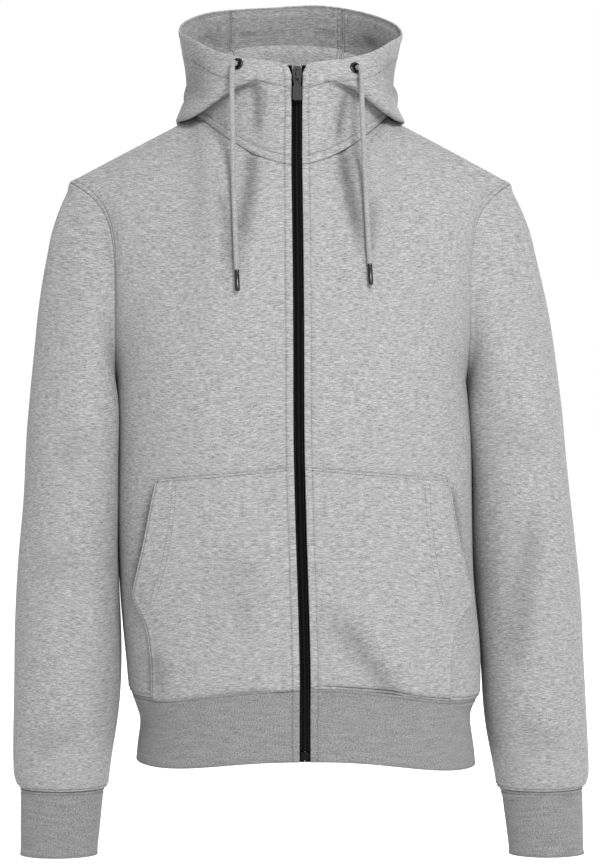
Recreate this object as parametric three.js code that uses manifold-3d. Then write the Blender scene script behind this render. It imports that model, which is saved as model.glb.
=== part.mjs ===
// A zip up hoodie, filled out as if worn, in millimetres with +Z up and its front towards -Y.
// The origin is the middle of the neck opening at the height of the neck point of the shoulders.
// Left and right are as seen from the front: left is -X.
import * as THREE from "three";
import { mergeVertices } from "three/addons/utils/BufferGeometryUtils.js";
import Module from "manifold-3d";

// Driving dimensions

const CLOTH = 2; // thickness of the fleece
const RIB_CLOTH = 2.2; // thickness of the rib knit
const SEAM_GAP = 0.3; // between pieces that are sewn to each other
const CURVE_POWER = 2.4; // squareness of the body's sections: 2 is an ellipse

const NECK = { half: 103, front: 98, back: 88, frontZ: -58, sideZ: 0, backZ: 11, rise: 1.8 };
const SHOULDER_TIP = { x: 238, z: -71 };
const ARMPIT = { x: 188, z: -285 };
const ARMHOLE = { front: 54, back: 60, hollow: 8 };
const NECK_SHARE = 0.42; // the part of a panel's top edge that is neckline, the rest is shoulder seam

const ZIP = {
  gap: 5.7, topX: 1.2, sway: 7, swayFrom: -300, swayOver: 340, depth: 4.2, tapeHalf: 13,
  tapeThick: 0.8, chainHalf: 3, chainThick: 2.6, flare: 5,
};
const HEM_RISE_POWER = 5; // how close to the zip the front is lifted
const HEM_TILT = 3; // the hem hangs lower on its right

// Sections of the body from the armpits to the hem seam: half width, depth of the front and the back,
// how far the section has moved sideways, and how far the zip lifts it
const BODY_RINGS = [
  { z: -285, half: 188, front: 138, back: 128, shift: 0, rise: 0 },
  { z: -330, half: 190.5, front: 138, back: 125, shift: 2, rise: 0 },
  { z: -380, half: 191.5, front: 137, back: 122, shift: 3.5, rise: 0 },
  { z: -450, half: 191, front: 135, back: 118, shift: 4, rise: 2 },
  { z: -510, half: 191.5, front: 134, back: 119, shift: 7.2, rise: 6 },
  { z: -560, half: 192, front: 134, back: 123, shift: 11.8, rise: 12 },
  { z: -592, half: 191, front: 134, back: 126, shift: 14, rise: 15.5 },
  { z: -607, half: 190.4, front: 133.6, back: 126, shift: 14.5, rise: 17 },
  { z: -616, half: 189.2, front: 133, back: 125.2, shift: 14.8, rise: 18 },
  { z: -620, half: 187, front: 132, back: 123, shift: 14.5, rise: 18 },
];
const RIB_RINGS = [
  { z: -620.6, half: 186.5, front: 131.8, back: 122.6, shift: 14.3, rise: 18 },
  { z: -636, half: 180.5, front: 130, back: 119, shift: 13.5, rise: 16.5 },
  { z: -652, half: 178, front: 129.5, back: 117, shift: 16, rise: 15 },
  { z: -676, half: 182, front: 130.5, back: 119.5, shift: 16, rise: 14 },
  { z: -693.5, half: 183.5, front: 131, back: 120.5, shift: 16, rise: 15 },
];

// Sections of a sleeve below the shoulder: outermost point, width, depth and place from front to back
const SLEEVE_RINGS = [
  { z: -335, outer: 292, width: 124, depth: 146, y: 5 },
  { z: -418, outer: 299.5, width: 121, depth: 136, y: 3 },
  { z: -515, outer: 307, width: 119, depth: 126, y: 0 },
  { z: -580, outer: 310.5, width: 119, depth: 118, y: -2 },
  { z: -635, outer: 312.8, width: 115.6, depth: 108, y: -4 },
  { z: -682, outer: 313.5, width: 108.2, depth: 98, y: -5 },
  { z: -707, outer: 312.8, width: 103.7, depth: 91, y: -6 },
  { z: -717, outer: 309, width: 98, depth: 84, y: -6 },
  { z: -721, outer: 305, width: 91, depth: 75, y: -6 },
];
const CUFF_RINGS = [
  { z: -721.5, outer: 304.3, width: 90, depth: 74, y: -6 },
  { z: -740, outer: 304.6, width: 88, depth: 70, y: -6 },
  { z: -765, outer: 305.2, width: 85.6, depth: 66, y: -7 },
  { z: -793, outer: 305.8, width: 83.2, depth: 62, y: -7 },
];
const SLEEVE_SHIFT = 2; // the sleeves hang a little to +X from the shoulder down
const SLEEVE_LEAN = 0.016;
const RIGHT_DROP = 4; // the right cuff hangs lower than the left one
const SLEEVE_CLEARANCE = 2.5; // between a sleeve and the body's side

// The hood's way from the neck seam to the rim at angles from the centre front: up the stand to its top,
// over the fold, down to the low edge of the roll or pouch, and up the outer wall to the rim
const HOOD_STATIONS = [
  { angle: 0, standR: 99, standZ: -32, topR: 100, topZ: -8, fold: 1, foldZ: 6, inR: 102, outR: 103,
    lowZ: 18, lowRise: 8, midR: 104, midZ: 34, rimR: 104.5, rimZ: 43 },
  { angle: 9, standR: 99, standZ: -30, topR: 100, topZ: -4, fold: 1.5, foldZ: 10, inR: 103, outR: 105,
    lowZ: 26, lowRise: 7, midR: 106, midZ: 40, rimR: 105.5, rimZ: 48 },
  { angle: 28, standR: 99, standZ: -8, topR: 100, topZ: 32, fold: 4, foldZ: 3, inR: 106, outR: 114.5,
    lowZ: 27, lowRise: -1, midR: 114, midZ: 43, rimR: 107.5, rimZ: 54 },
  { angle: 45, standR: 101, standZ: -6, topR: 102, topZ: 20, fold: 4, foldZ: 2, inR: 109, outR: 121,
    lowZ: 8, lowRise: -1, midR: 117, midZ: 38, rimR: 111, rimZ: 62 },
  { angle: 65, standR: 104, standZ: 5, topR: 105, topZ: 17, fold: 4, foldZ: 2, inR: 111, outR: 125,
    lowZ: -5, lowRise: -4, midR: 110, midZ: 30, rimR: 117, rimZ: 78 },
  { angle: 90, standR: 106, standZ: 13, topR: 107, topZ: 26, fold: 5, foldZ: 2, inR: 114, outR: 128,
    lowZ: -4, lowRise: -5, midR: 106.5, midZ: 22, rimR: 120.5, rimZ: 91 },
  { angle: 115, standR: 103, standZ: 22, topR: 103, topZ: 50, fold: 8, foldZ: 2, inR: 118, outR: 138,
    lowZ: -8, lowRise: -4, midR: 114, midZ: 42, rimR: 122, rimZ: 108 },
  { angle: 140, standR: 94, standZ: 40, topR: 94, topZ: 76, fold: 12, foldZ: 2, inR: 134, outR: 162,
    lowZ: -52, lowRise: -4, midR: 138, midZ: 50, rimR: 120, rimZ: 123 },
  { angle: 162, standR: 89, standZ: 46, topR: 88, topZ: 84, fold: 15, foldZ: 2, inR: 134, outR: 174,
    lowZ: -100, lowRise: -4, midR: 148, midZ: 42, rimR: 118, rimZ: 130 },
  { angle: 180, standR: 88, standZ: 46, topR: 86, topZ: 86, fold: 16, foldZ: 2, inR: 136, outR: 178,
    lowZ: -112, lowRise: -4, midR: 151, midZ: 40, rimR: 117, rimZ: 132 },
];
const RIM_WAVE = { x: 38, width: 42, height: 4, fromV: 0.7 }; // the rim's back stands a little higher here
const HOOD_CENTRE_HALF = { neck: 50, pouch: 60, rim: 56 }; // half width of the hood's centre panel

// Pockets: outer edge at each height, the left and right ones as they hang
const POCKET_EDGE = [
  { z: -386, left: 145, right: 160 },
  { z: -420, left: 149, right: 163 },
  { z: -455, left: 154, right: 168 },
  { z: -488, left: 161, right: 177 },
  { z: -512, left: 166, right: 186 },
  { z: -532, left: 158, right: 175 },
  { z: -560, left: 152, right: 166 },
  { z: -610, left: 150, right: 163 },
];
const POCKET = {
  topZ: -372, topDrop: 14, bottomZ: -611, cloth: 1.8, clear: 1.4, openFrom: -386, openTo: -545, stand: 5,
};

const CORD = { diameter: 5.5, sides: 8, steps: 24 };
const AGLET = { radius: 2.5, length: 22 };
const EYELET = { outer: 6.4, hole: 3.4, height: 1.5 };
// Drawstring ends, from the eyelet down the chest to the aglet
const CORD_LEFT = [
  [-62.7, -93.9, 47.1], [-64.2, -97.1, 48], [-65.2, -99.8, 47.3], [-65.9, -101.5, 44.3], [-66.3, -102.6, 39.4],
  [-66.5, -103.5, 30], [-66.4, -105.5, 5], [-65.8, -108.4, -35], [-65.2, -112.5, -70], [-64.4, -119.2, -105],
  [-63.4, -126.2, -140], [-62.4, -131.5, -169],
];
const CORD_RIGHT = [
  [64.8, -94.2, 43.6], [66.5, -97.4, 43.9], [67.6, -100, 43.1], [68.2, -101.7, 40.1], [68.5, -102.7, 35],
  [68.7, -103.7, 26], [68.9, -105.5, 0], [70.4, -108.4, -40], [71.8, -112.4, -75], [73, -119, -110],
  [74.2, -125, -140], [75.2, -128.8, -162],
];

const EYELET_PLACES = { left: { angle: 32.5, v: 0.9425 }, right: { angle: 33.25, v: 0.92 } };

// The slider's bail is an arch on its front, from and to heights measured from the slider's middle
const SLIDER = {
  width: 10, length: 18, thick: 5.4, topZ: 44,
  bailFrom: -5, bailTo: 6, bailHeight: 2.6, bailThick: 1.3, bailWidth: 2.4,
};
// The pull's hinge line lies in the bail, at a rise from the slider's middle and a reach before its face
const PULL = {
  width: 9.5, length: 24, thick: 1.4, bar: 1.2, eyeWidth: 6.4, eyeLength: 8, holeWidth: 3.4,
  hingeRise: -2.5, hingeReach: 1.3,
};
const BOX = { width: 8.5, height: 8.5, thick: 3.4, topZ: -668 }; // the zip's retaining box at the hem

// Small helpers

const rad = (degrees) => (degrees * Math.PI) / 180;
const mix = (a, b, t) => a + (b - a) * t;
const clamp01 = (t) => Math.min(1, Math.max(0, t));
const smooth = (t) => clamp01(t) ** 2 * (3 - 2 * clamp01(t));
const signedPower = (value, power) => Math.sign(value) * Math.abs(value) ** power;

// A smooth curve through neighbouring rows of a table, at a fractional row number
function rowAt(rows, place) {
  const i = Math.min(rows.length - 2, Math.max(0, Math.floor(place)));
  const t = place - i;
  const [a, b, c, d] = [rows[Math.max(0, i - 1)], rows[i], rows[i + 1], rows[Math.min(rows.length - 1, i + 2)]];
  const row = {};
  for (const key of Object.keys(b)) {
    const slopeB = (c[key] - a[key]) / (i > 0 ? 2 : 1);
    const slopeC = (d[key] - b[key]) / (i + 2 < rows.length ? 2 : 1);
    const t2 = t * t;
    const t3 = t2 * t;
    row[key] = (2 * t3 - 3 * t2 + 1) * b[key] + (t3 - 2 * t2 + t) * slopeB
      + (3 * t2 - 2 * t3) * c[key] + (t3 - t2) * slopeC;
  }
  return row;
}

// The fractional row number where a steadily rising or falling column has a value
function placeOf(rows, key, value) {
  let low = 0;
  let high = rows.length - 1;
  const rising = rows[high][key] > rows[0][key];
  for (let step = 0; step < 30; step += 1) {
    const middle = (low + high) / 2;
    if ((rowAt(rows, middle)[key] < value) === rising) low = middle;
    else high = middle;
  }
  return (low + high) / 2;
}

function hermite(start, startSlope, end, endSlope, t) {
  const t2 = t * t;
  const t3 = t2 * t;
  return new THREE.Vector3()
    .addScaledVector(start, 2 * t3 - 3 * t2 + 1)
    .addScaledVector(startSlope, t3 - 2 * t2 + t)
    .addScaledVector(end, 3 * t2 - 2 * t3)
    .addScaledVector(endSlope, t3 - t2);
}

// Evenly spaced numbers from start to end, both included
const spaced = (start, end, count) => Array.from({ length: count + 1 }, (_, i) => mix(start, end, i / count));

// Cloth: a wall of even thickness inside an outer face, which outer(u, v) gives at each u and v.
// A round piece closes on itself in u. The face's outside is to the left of u going along v,
// or to the right where flip is set. standOff moves the whole wall out from the face.
function cloth(outer, us, vs, { thick = CLOTH, flip = false, round = false, standOff = 0 } = {}) {
  const step = 1e-3;
  const side = flip ? -1 : 1;
  const columns = round ? us.length - 1 : us.length;
  const positions = [];
  const addFace = (depth) => {
    for (const v of vs) {
      for (let i = 0; i < columns; i += 1) {
        const u = us[i];
        const point = outer(u, v);
        const uBack = round ? u - step : Math.max(us[0], u - step);
        const uAhead = round ? u + step : Math.min(us[us.length - 1], u + step);
        const along = outer(uAhead, v).sub(outer(uBack, v));
        const vBack = Math.max(vs[0], v - step);
        const vAhead = Math.min(vs[vs.length - 1], v + step);
        const up = outer(u, vAhead).sub(outer(u, vBack));
        const normal = along.cross(up).normalize().multiplyScalar(side);
        const lift = typeof standOff === "function" ? standOff(u, v) : standOff;
        point.addScaledVector(normal, lift - depth);
        positions.push(point.x, point.y, point.z);
      }
    }
  };
  addFace(0);
  addFace(thick);
  const inside = columns * vs.length;
  const index = [];
  const quad = (a, b, c, d) => index.push(...(flip ? [a, c, b, a, d, c] : [a, b, c, a, c, d]));
  const at = (i, j) => j * columns + (i % columns);
  for (let j = 0; j + 1 < vs.length; j += 1) {
    for (let i = 0; i + 1 < us.length; i += 1) {
      quad(at(i, j), at(i + 1, j), at(i + 1, j + 1), at(i, j + 1));
      quad(inside + at(i, j + 1), inside + at(i + 1, j + 1), inside + at(i + 1, j), inside + at(i, j));
    }
    if (!round) {
      const last = us.length - 1;
      quad(at(0, j), at(0, j + 1), inside + at(0, j + 1), inside + at(0, j));
      quad(at(last, j + 1), at(last, j), inside + at(last, j), inside + at(last, j + 1));
    }
  }
  for (let i = 0; i + 1 < us.length; i += 1) {
    const top = vs.length - 1;
    quad(at(i + 1, 0), at(i, 0), inside + at(i, 0), inside + at(i + 1, 0));
    quad(at(i, top), at(i + 1, top), inside + at(i + 1, top), inside + at(i, top));
  }
  const geometry = new THREE.BufferGeometry();
  geometry.setAttribute("position", new THREE.Float32BufferAttribute(positions, 3));
  geometry.setIndex(index);
  return geometry;
}

// Body. Both sides are worked out on the +X side, where x is measured outwards, and then mirrored.

const zipX = (z) => ZIP.topX + ZIP.sway * smooth((ZIP.swayFrom - z) / ZIP.swayOver);
const mirror = (point, side) => new THREE.Vector3(side * point.x, point.y, point.z);

// A point of a section, at an angle of 0 at the centre front, 90 at the side and 180 at the centre back
function ringPoint(ring, angle, side) {
  const across = signedPower(Math.sin(rad(angle)), 2 / CURVE_POWER);
  const depth = signedPower(Math.cos(rad(angle)), 2 / CURVE_POWER);
  const front = Math.max(0, Math.cos(rad(angle))) ** HEM_RISE_POWER;
  const tilt = HEM_TILT * side * Math.sin(rad(angle)) * smooth((-450 - ring.z) / 150);
  return new THREE.Vector3(
    ring.half * across + side * ring.shift,
    -depth * (depth > 0 ? ring.front : ring.back),
    ring.z + ring.rise * front - tilt,
  );
}

// The angle at which a section's front reaches a distance x outwards
function ringAngle(ring, x, side) {
  const across = signedPower((x - side * ring.shift) / ring.half, CURVE_POWER / 2);
  return THREE.MathUtils.radToDeg(Math.asin(Math.min(1, across)));
}

function neckPoint(angle) {
  const x = Math.sin(rad(angle));
  const y = Math.cos(rad(angle));
  const front = mix(NECK.frontZ, NECK.sideZ, x ** NECK.rise);
  const back = mix(NECK.sideZ, NECK.backZ, y * y);
  return new THREE.Vector3(NECK.half * x, -y * (y > 0 ? NECK.front : NECK.back), y > 0 ? front : back);
}

// The armhole's loop: 0 at the armpit, 90 at the front, 180 at the shoulder's tip and 270 at the back
function armholePoint(angle) {
  const height = (1 - Math.cos(rad(angle))) / 2;
  const out = Math.sin(rad(angle));
  return new THREE.Vector3(
    mix(ARMPIT.x, SHOULDER_TIP.x, height ** ARMHOLE.hollow),
    -out * (out > 0 ? ARMHOLE.front : ARMHOLE.back),
    mix(ARMPIT.z, SHOULDER_TIP.z, height),
  );
}

// One half of the front or back: u goes from its middle edge to the side, and v from -1 at the hem seam
// through 0 at the armpits to 1 at the neckline and shoulder seam
function panelPoint(u, v, side, isFront) {
  const lower = rowAt(BODY_RINGS, (BODY_RINGS.length - 1) * Math.max(0, -v));
  const edge = isFront ? side * zipX(lower.z) + ZIP.gap : side * lower.shift;
  const middleAngle = isFront ? ringAngle(lower, edge, side) : 180;
  if (v <= 0) return ringPoint(lower, mix(middleAngle, 90, u), side);

  // Above the armpits the armhole cuts the section's side away
  const armhole = armholePoint(isFront ? 180 * v : 360 - 180 * v);
  const cut = (Math.abs(armhole.y) / (isFront ? lower.front : lower.back)) ** (CURVE_POWER / 2);
  const sideAngle = THREE.MathUtils.radToDeg(Math.acos(isFront ? cut : -cut));
  const bottom = ringPoint(lower, mix(middleAngle, sideAngle, u), side);
  const neckStart = isFront
    ? THREE.MathUtils.radToDeg(Math.asin((side * zipX(NECK.frontZ) + ZIP.gap) / NECK.half))
    : 180;
  const onShoulder = clamp01((u - NECK_SHARE) / (1 - NECK_SHARE));
  const top = neckPoint(mix(neckStart, 90, Math.min(1, u / NECK_SHARE)));
  top.lerp(new THREE.Vector3(SHOULDER_TIP.x, 0, SHOULDER_TIP.z), onShoulder);
  const height = top.z - bottom.z;
  const up = new THREE.Vector3(0, 0, mix(1.25, 1.7, smooth(u)) * height);
  const atNeck = new THREE.Vector3(0, (isFront ? 0.3 : -0.42) * height, 0.95 * height);
  const atShoulder = new THREE.Vector3(0, 1.65 * Math.abs(bottom.y) * (isFront ? 1 : -1), 0);
  const over = atNeck.lerp(atShoulder, smooth(u / NECK_SHARE));
  const point = hermite(bottom, up, top, over, v);
  const hollow = ((1 - Math.cos(Math.PI * v)) / 2) ** ARMHOLE.hollow;
  point.x = mix(bottom.x, top.x, mix(smooth(v), hollow, u * u));
  return point;
}

// The same half with its outer edge brought to the armhole
function bodyPoint(u, v, side, isFront) {
  const point = panelPoint(u, v, side, isFront);
  if (v <= 0) return point;
  const armhole = armholePoint(isFront ? 180 * v : 360 - 180 * v);
  const pull = armhole.sub(panelPoint(1, v, side, isFront));
  return point.addScaledVector(pull, smooth((u - 0.3) / 0.7));
}

const BODY_ROWS = [
  -1, -0.96, -0.92, -0.88, -0.84, -0.78, -0.7, -0.6, -0.5, -0.4, -0.27, -0.13,
  ...spaced(0, 1, 12),
];
const HALF_SEAM = 0.0012; // half of a side seam's gap, as a share of a panel's half width
const NECK_CELLS = 6; // columns along half of the neckline, on the panels and on the hood
const PANEL_COLUMNS = [
  ...spaced(0, NECK_SHARE, NECK_CELLS),
  ...spaced(NECK_SHARE, 1 - HALF_SEAM, 8).slice(1),
];

function frontPanel(side) {
  const outer = (u, v) => mirror(bodyPoint(u, v, side, true), side);
  return cloth(outer, PANEL_COLUMNS, BODY_ROWS, { flip: side < 0 });
}

function backPanel() {
  const outer = (u, v) => {
    const side = u < 0 ? -1 : 1;
    const point = mirror(bodyPoint(Math.abs(u), v, side, false), side);
    point.y += SEAM_GAP * smooth(v);
    return point;
  };
  const columns = [...PANEL_COLUMNS.slice(1).reverse().map((u) => -u), ...PANEL_COLUMNS];
  return cloth(outer, columns, BODY_ROWS, { flip: true });
}

// The rib band goes all round from one side of the zip to the other
function ribBand() {
  const outer = (u, v) => {
    const ring = rowAt(RIB_RINGS, (RIB_RINGS.length - 1) * v);
    const side = u < 0 ? -1 : 1;
    const start = ringAngle(ring, side * zipX(ring.z) + ZIP.gap, side);
    const angle = mix(180, start, Math.abs(u));
    return mirror(ringPoint(ring, angle, side), side);
  };
  return cloth(outer, spaced(-1, 1, 42), spaced(0, 1, 4), { thick: RIB_CLOTH });
}

// Sleeves

// How far out the body's side reaches at a height and depth
function bodySide(y, z, side) {
  const ring = rowAt(BODY_RINGS, z > ARMPIT.z ? 0 : placeOf(BODY_RINGS, "z", Math.max(z, -612)));
  const deep = Math.abs(y) / (y < 0 ? ring.front : ring.back);
  return ring.half * Math.max(0, 1 - deep ** CURVE_POWER) ** (1 / CURVE_POWER) + side * ring.shift;
}

function sleeveRing(ring, angle, side) {
  const lean = SLEEVE_SHIFT + SLEEVE_LEAN * (SHOULDER_TIP.z - ring.z);
  const drop = side > 0 ? RIGHT_DROP * smooth((-350 - ring.z) / 350) : 0;
  return new THREE.Vector3(
    ring.outer - ring.width / 2 - (ring.width / 2) * Math.cos(rad(angle)) + side * lean,
    ring.y - (ring.depth / 2) * Math.sin(rad(angle)),
    ring.z - drop,
  );
}

// v goes from 0 at the armhole through 1 at the first section to 2 at the cuff seam
function sleevePoint(angle, v, side) {
  let point;
  if (v >= 1) {
    point = sleeveRing(rowAt(SLEEVE_RINGS, (SLEEVE_RINGS.length - 1) * (v - 1)), angle, side);
  } else {
    const start = armholePoint(angle);
    const end = sleeveRing(SLEEVE_RINGS[0], angle, side);
    const top = (1 - Math.cos(rad(angle))) / 2;
    const away = new THREE.Vector3(0.54, 0, -0.84);
    start.addScaledVector(away, 3 * SEAM_GAP + 0.9 * top ** 4);
    const length = start.distanceTo(end);
    const down = new THREE.Vector3(0.1, 0, -1).multiplyScalar(length);
    point = hermite(start, away.multiplyScalar(length * 0.75), end, down, v);
  }
  if (v > 0.3) {
    const nearest = bodySide(point.y, point.z, side) + SLEEVE_CLEARANCE;
    const reach = point.x - nearest;
    const soft = 6;
    point.x = nearest + (reach + Math.sqrt(reach * reach + soft * soft)) / 2 - soft / 4;
  }
  return point;
}

const SLEEVE_ROWS = [
  0, 0.09, 0.2, 0.33, 0.48, 0.64, 0.82, 1, 1.13, 1.27, 1.4, 1.52, 1.64, 1.75, 1.83, 1.9, 1.96, 2,
];

function sleeve(side) {
  const outer = (u, v) => mirror(sleevePoint(360 * u, v, side), side);
  return cloth(outer, spaced(0, 1, 22), SLEEVE_ROWS, { flip: side > 0, round: true });
}

function cuff(side) {
  const outer = (u, v) => mirror(sleeveRing(rowAt(CUFF_RINGS, (CUFF_RINGS.length - 1) * v), 360 * u, side), side);
  return cloth(outer, spaced(0, 1, 24), spaced(0, 1, 4), { flip: side > 0, round: true, thick: RIB_CLOTH });
}

// Hood

// The corners that the hood's cloth bends round on its way from the neck seam to the rim
function hoodCorners(angle) {
  const row = rowAt(HOOD_STATIONS, placeOf(HOOD_STATIONS, "angle", angle));
  const neck = neckPoint(angle);
  return [
    [Math.hypot(neck.x, neck.y), neck.z + SEAM_GAP * (1 + 2.5 * Math.max(0, Math.cos(rad(angle))))],
    [row.standR, row.standZ],
    [row.topR, row.topZ],
    [row.topR + row.fold, row.topZ + row.foldZ],
    [row.inR, row.lowZ],
    [row.outR, row.lowZ + row.lowRise],
    [row.midR, row.midZ],
    [row.rimR, row.rimZ],
  ];
}

// A smooth way round the corners: v is 0 at the neck seam and 1 at the rim
function hoodProfile(angle, v) {
  const corners = hoodCorners(angle);
  const legs = corners.length - 2;
  const place = Math.min(v * legs, legs - 1e-9);
  const i = Math.floor(place);
  const t = place - i;
  const blend = (key) => {
    const before = i === 0 ? corners[0][key] : (corners[i][key] + corners[i + 1][key]) / 2;
    const after = i === legs - 1 ? corners[i + 2][key] : (corners[i + 1][key] + corners[i + 2][key]) / 2;
    return (1 - t) ** 2 * before + 2 * t * (1 - t) * corners[i + 1][key] + t * t * after;
  };
  return [blend(0), blend(1)];
}

// The plan angle of a neck angle, because the neckline is oval
function hoodPoint(angle, v) {
  const [radius, height] = hoodProfile(angle, v);
  const neck = neckPoint(angle);
  const plan = Math.atan2(neck.x, -neck.y);
  return new THREE.Vector3(radius * Math.sin(plan), -radius * Math.cos(plan), height);
}

// The angle of the seam between a side panel and the centre panel
function hoodSeam(v) {
  const half = v < 0.6
    ? mix(HOOD_CENTRE_HALF.neck, HOOD_CENTRE_HALF.pouch, v / 0.6)
    : mix(HOOD_CENTRE_HALF.pouch, HOOD_CENTRE_HALF.rim, (v - 0.6) / 0.4);
  let angle = 150;
  for (let step = 0; step < 12; step += 1) {
    angle = 180 - THREE.MathUtils.radToDeg(Math.asin(half / hoodProfile(angle, v)[0]));
  }
  return angle;
}

// The rim isn't quite even along its back
function rimWave(point, v) {
  const near = Math.exp(-(((point.x - RIM_WAVE.x) / RIM_WAVE.width) ** 2));
  point.z += RIM_WAVE.height * near * smooth(point.y / 60) * smooth((v - RIM_WAVE.fromV) / (1 - RIM_WAVE.fromV));
  return point;
}

const HOOD_ROWS = [
  0, 0.1, 0.19, 0.26, 0.32, 0.37, 0.42, 0.47, 0.53, 0.59, 0.64, 0.68, 0.72, 0.77, 0.83, 0.89, 0.95, 1,
];
const HOOD_SEAM_GAP = 0.1; // degrees on each side of a hood seam

// The neck angle at which the hood's front edge runs beside the zip
function hoodStart(v, side) {
  const plan = Math.asin((side * zipX(0) + ZIP.gap) / hoodProfile(4, v)[0]);
  return THREE.MathUtils.radToDeg(Math.atan((Math.tan(plan) * NECK.front) / NECK.half));
}

function hoodSide(side) {
  const outer = (u, v) => {
    const angle = u < 0.5 ? mix(hoodStart(v, side), 90, 2 * u) : mix(90, hoodSeam(v) - HOOD_SEAM_GAP, 2 * u - 1);
    return rimWave(mirror(hoodPoint(angle, v), side), v);
  };
  const columns = [...spaced(0, 0.5, 2 * NECK_CELLS), ...spaced(0.5, 1, 6).slice(1)];
  return cloth(outer, columns, HOOD_ROWS, { flip: side < 0 });
}

function hoodCentre() {
  const outer = (u, v) => {
    const reach = 180 - (hoodSeam(v) + HOOD_SEAM_GAP);
    return rimWave(mirror(hoodPoint(180 - Math.abs(u) * reach, v), u < 0 ? -1 : 1), v);
  };
  return cloth(outer, spaced(-1, 1, 8), HOOD_ROWS, { flip: true });
}

// Pockets are sewn to the fronts beside the zip, and stand off a little along their slanted openings

function pocket(side) {
  const key = side < 0 ? "left" : "right";
  const outer = (u, v) => {
    const sideZ = mix(POCKET.openFrom, POCKET.bottomZ, v);
    const edge = rowAt(POCKET_EDGE, placeOf(POCKET_EDGE, "z", sideZ))[key];
    const z = mix(POCKET.topZ - POCKET.topDrop * u, POCKET.bottomZ, v);
    const ring = rowAt(BODY_RINGS, placeOf(BODY_RINGS, "z", z));
    const x = mix(side * zipX(z) + ZIP.gap, edge, u);
    return mirror(ringPoint(ring, ringAngle(ring, x, side), side), side);
  };
  const standOff = (u, v) => {
    const sideZ = mix(POCKET.openFrom, POCKET.bottomZ, v);
    const along = clamp01((POCKET.openFrom - sideZ) / (POCKET.openFrom - POCKET.openTo));
    const open = Math.sin(Math.PI * along) * smooth((u - 0.7) / 0.3);
    return mix(SEAM_GAP, POCKET.clear, smooth(u / 0.28)) + POCKET.cloth + POCKET.stand * open;
  };
  const columns = [0, 0.14, 0.28, 0.42, 0.54, 0.65, 0.74, 0.82, 0.88, 0.94, 1];
  return cloth(outer, columns, spaced(0, 1, 12), { flip: side > 0, thick: POCKET.cloth, standOff });
}

// Zip

// The middle of the front from the hem to the top of the zip, as points in the plane of Y and Z
function centreFront() {
  const points = [];
  for (const v of spaced(1, 0, 3)) {
    points.push(ringPoint(rowAt(RIB_RINGS, (RIB_RINGS.length - 1) * v), 0, 1));
  }
  for (const v of BODY_ROWS.filter((row) => row > -0.95)) points.push(bodyPoint(0, v, 1, true));
  for (const v of [0.06, 0.15, 0.3, 0.5, 0.7, 0.85, 1]) points.push(hoodPoint(3, v));
  return new THREE.CatmullRomCurve3(points.map((point) => new THREE.Vector3(0, point.y, point.z)));
}
const FRONT_LINE = centreFront();

// A point beside the zip's middle, a depth behind the outer face of the fronts
function zipPoint(across, along, depth) {
  const point = FRONT_LINE.getPointAt(along);
  const tangent = FRONT_LINE.getTangentAt(along);
  const curve = 210 + 600 * smooth((-60 - point.z) / 150);
  return new THREE.Vector3(
    zipX(point.z) + across,
    point.y + tangent.z * (depth + (across * across) / curve),
    point.z - tangent.y * depth,
  );
}

const ZIP_ROWS = spaced(0, 1, 30);

function zipTape(side) {
  const outer = (u, v) => {
    const flare = ZIP.flare * smooth((v - 0.97) / 0.03);
    return zipPoint(side * (mix(0.2, ZIP.tapeHalf, u) + flare), v, ZIP.depth);
  };
  return cloth(outer, [0, 0.35, 1], ZIP_ROWS, { flip: side < 0, thick: ZIP.tapeThick });
}

// The share of the front line at which it reaches a height
function placeOnFront(z) {
  let [low, high] = [0, 1];
  for (let step = 0; step < 24; step += 1) {
    const middle = (low + high) / 2;
    if (FRONT_LINE.getPointAt(middle).z < z) low = middle;
    else high = middle;
  }
  return (low + high) / 2;
}

function zipChain() {
  const start = placeOnFront(BOX.topZ + SEAM_GAP);
  const end = placeOnFront(SLIDER.topZ - SLIDER.length - 3 * SEAM_GAP);
  const outer = (u, v) => zipPoint(mix(-ZIP.chainHalf, ZIP.chainHalf, u), v,
    ZIP.depth - SEAM_GAP - ZIP.chainThick);
  const rows = [start, ...ZIP_ROWS.filter((row) => row > start + 0.01 && row < end - 0.01), end];
  return cloth(outer, [0, 1], rows, { thick: ZIP.chainThick });
}

// Small hard parts. Each is made lying in the plane of X and Z with its front towards -Y.

function roundedOutline(width, height, radius) {
  const shape = new THREE.Shape();
  const [w, h] = [width / 2, height / 2];
  shape.moveTo(-w + radius, -h);
  shape.lineTo(w - radius, -h);
  shape.absarc(w - radius, -h + radius, radius, -Math.PI / 2, 0);
  shape.lineTo(w, h - radius);
  shape.absarc(w - radius, h - radius, radius, 0, Math.PI / 2);
  shape.lineTo(-w + radius, h);
  shape.absarc(-w + radius, h - radius, radius, Math.PI / 2, Math.PI);
  shape.lineTo(-w, -h + radius);
  shape.absarc(-w + radius, -h + radius, radius, Math.PI, 1.5 * Math.PI);
  return shape;
}

// A plate with its front at y = 0, reaching back by its thickness
function plate(shape, thick) {
  const geometry = new THREE.ExtrudeGeometry(shape, { depth: thick, bevelEnabled: false, curveSegments: 3 });
  return geometry.rotateX(Math.PI / 2).translate(0, thick, 0);
}

const wasm = await Module();
wasm.setup();

function toSolid(geometry) {
  geometry.deleteAttribute("normal");
  geometry.deleteAttribute("uv");
  const merged = mergeVertices(geometry);
  return new wasm.Manifold(new wasm.Mesh({
    numProp: 3,
    vertProperties: new Float32Array(merged.attributes.position.array),
    triVerts: new Uint32Array(merged.index.array),
  }));
}

function toGeometry(solid) {
  const mesh = solid.getMesh();
  const geometry = new THREE.BufferGeometry();
  geometry.setAttribute("position", new THREE.BufferAttribute(mesh.vertProperties, 3));
  geometry.setIndex(new THREE.BufferAttribute(mesh.triVerts, 1));
  return geometry;
}

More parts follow.
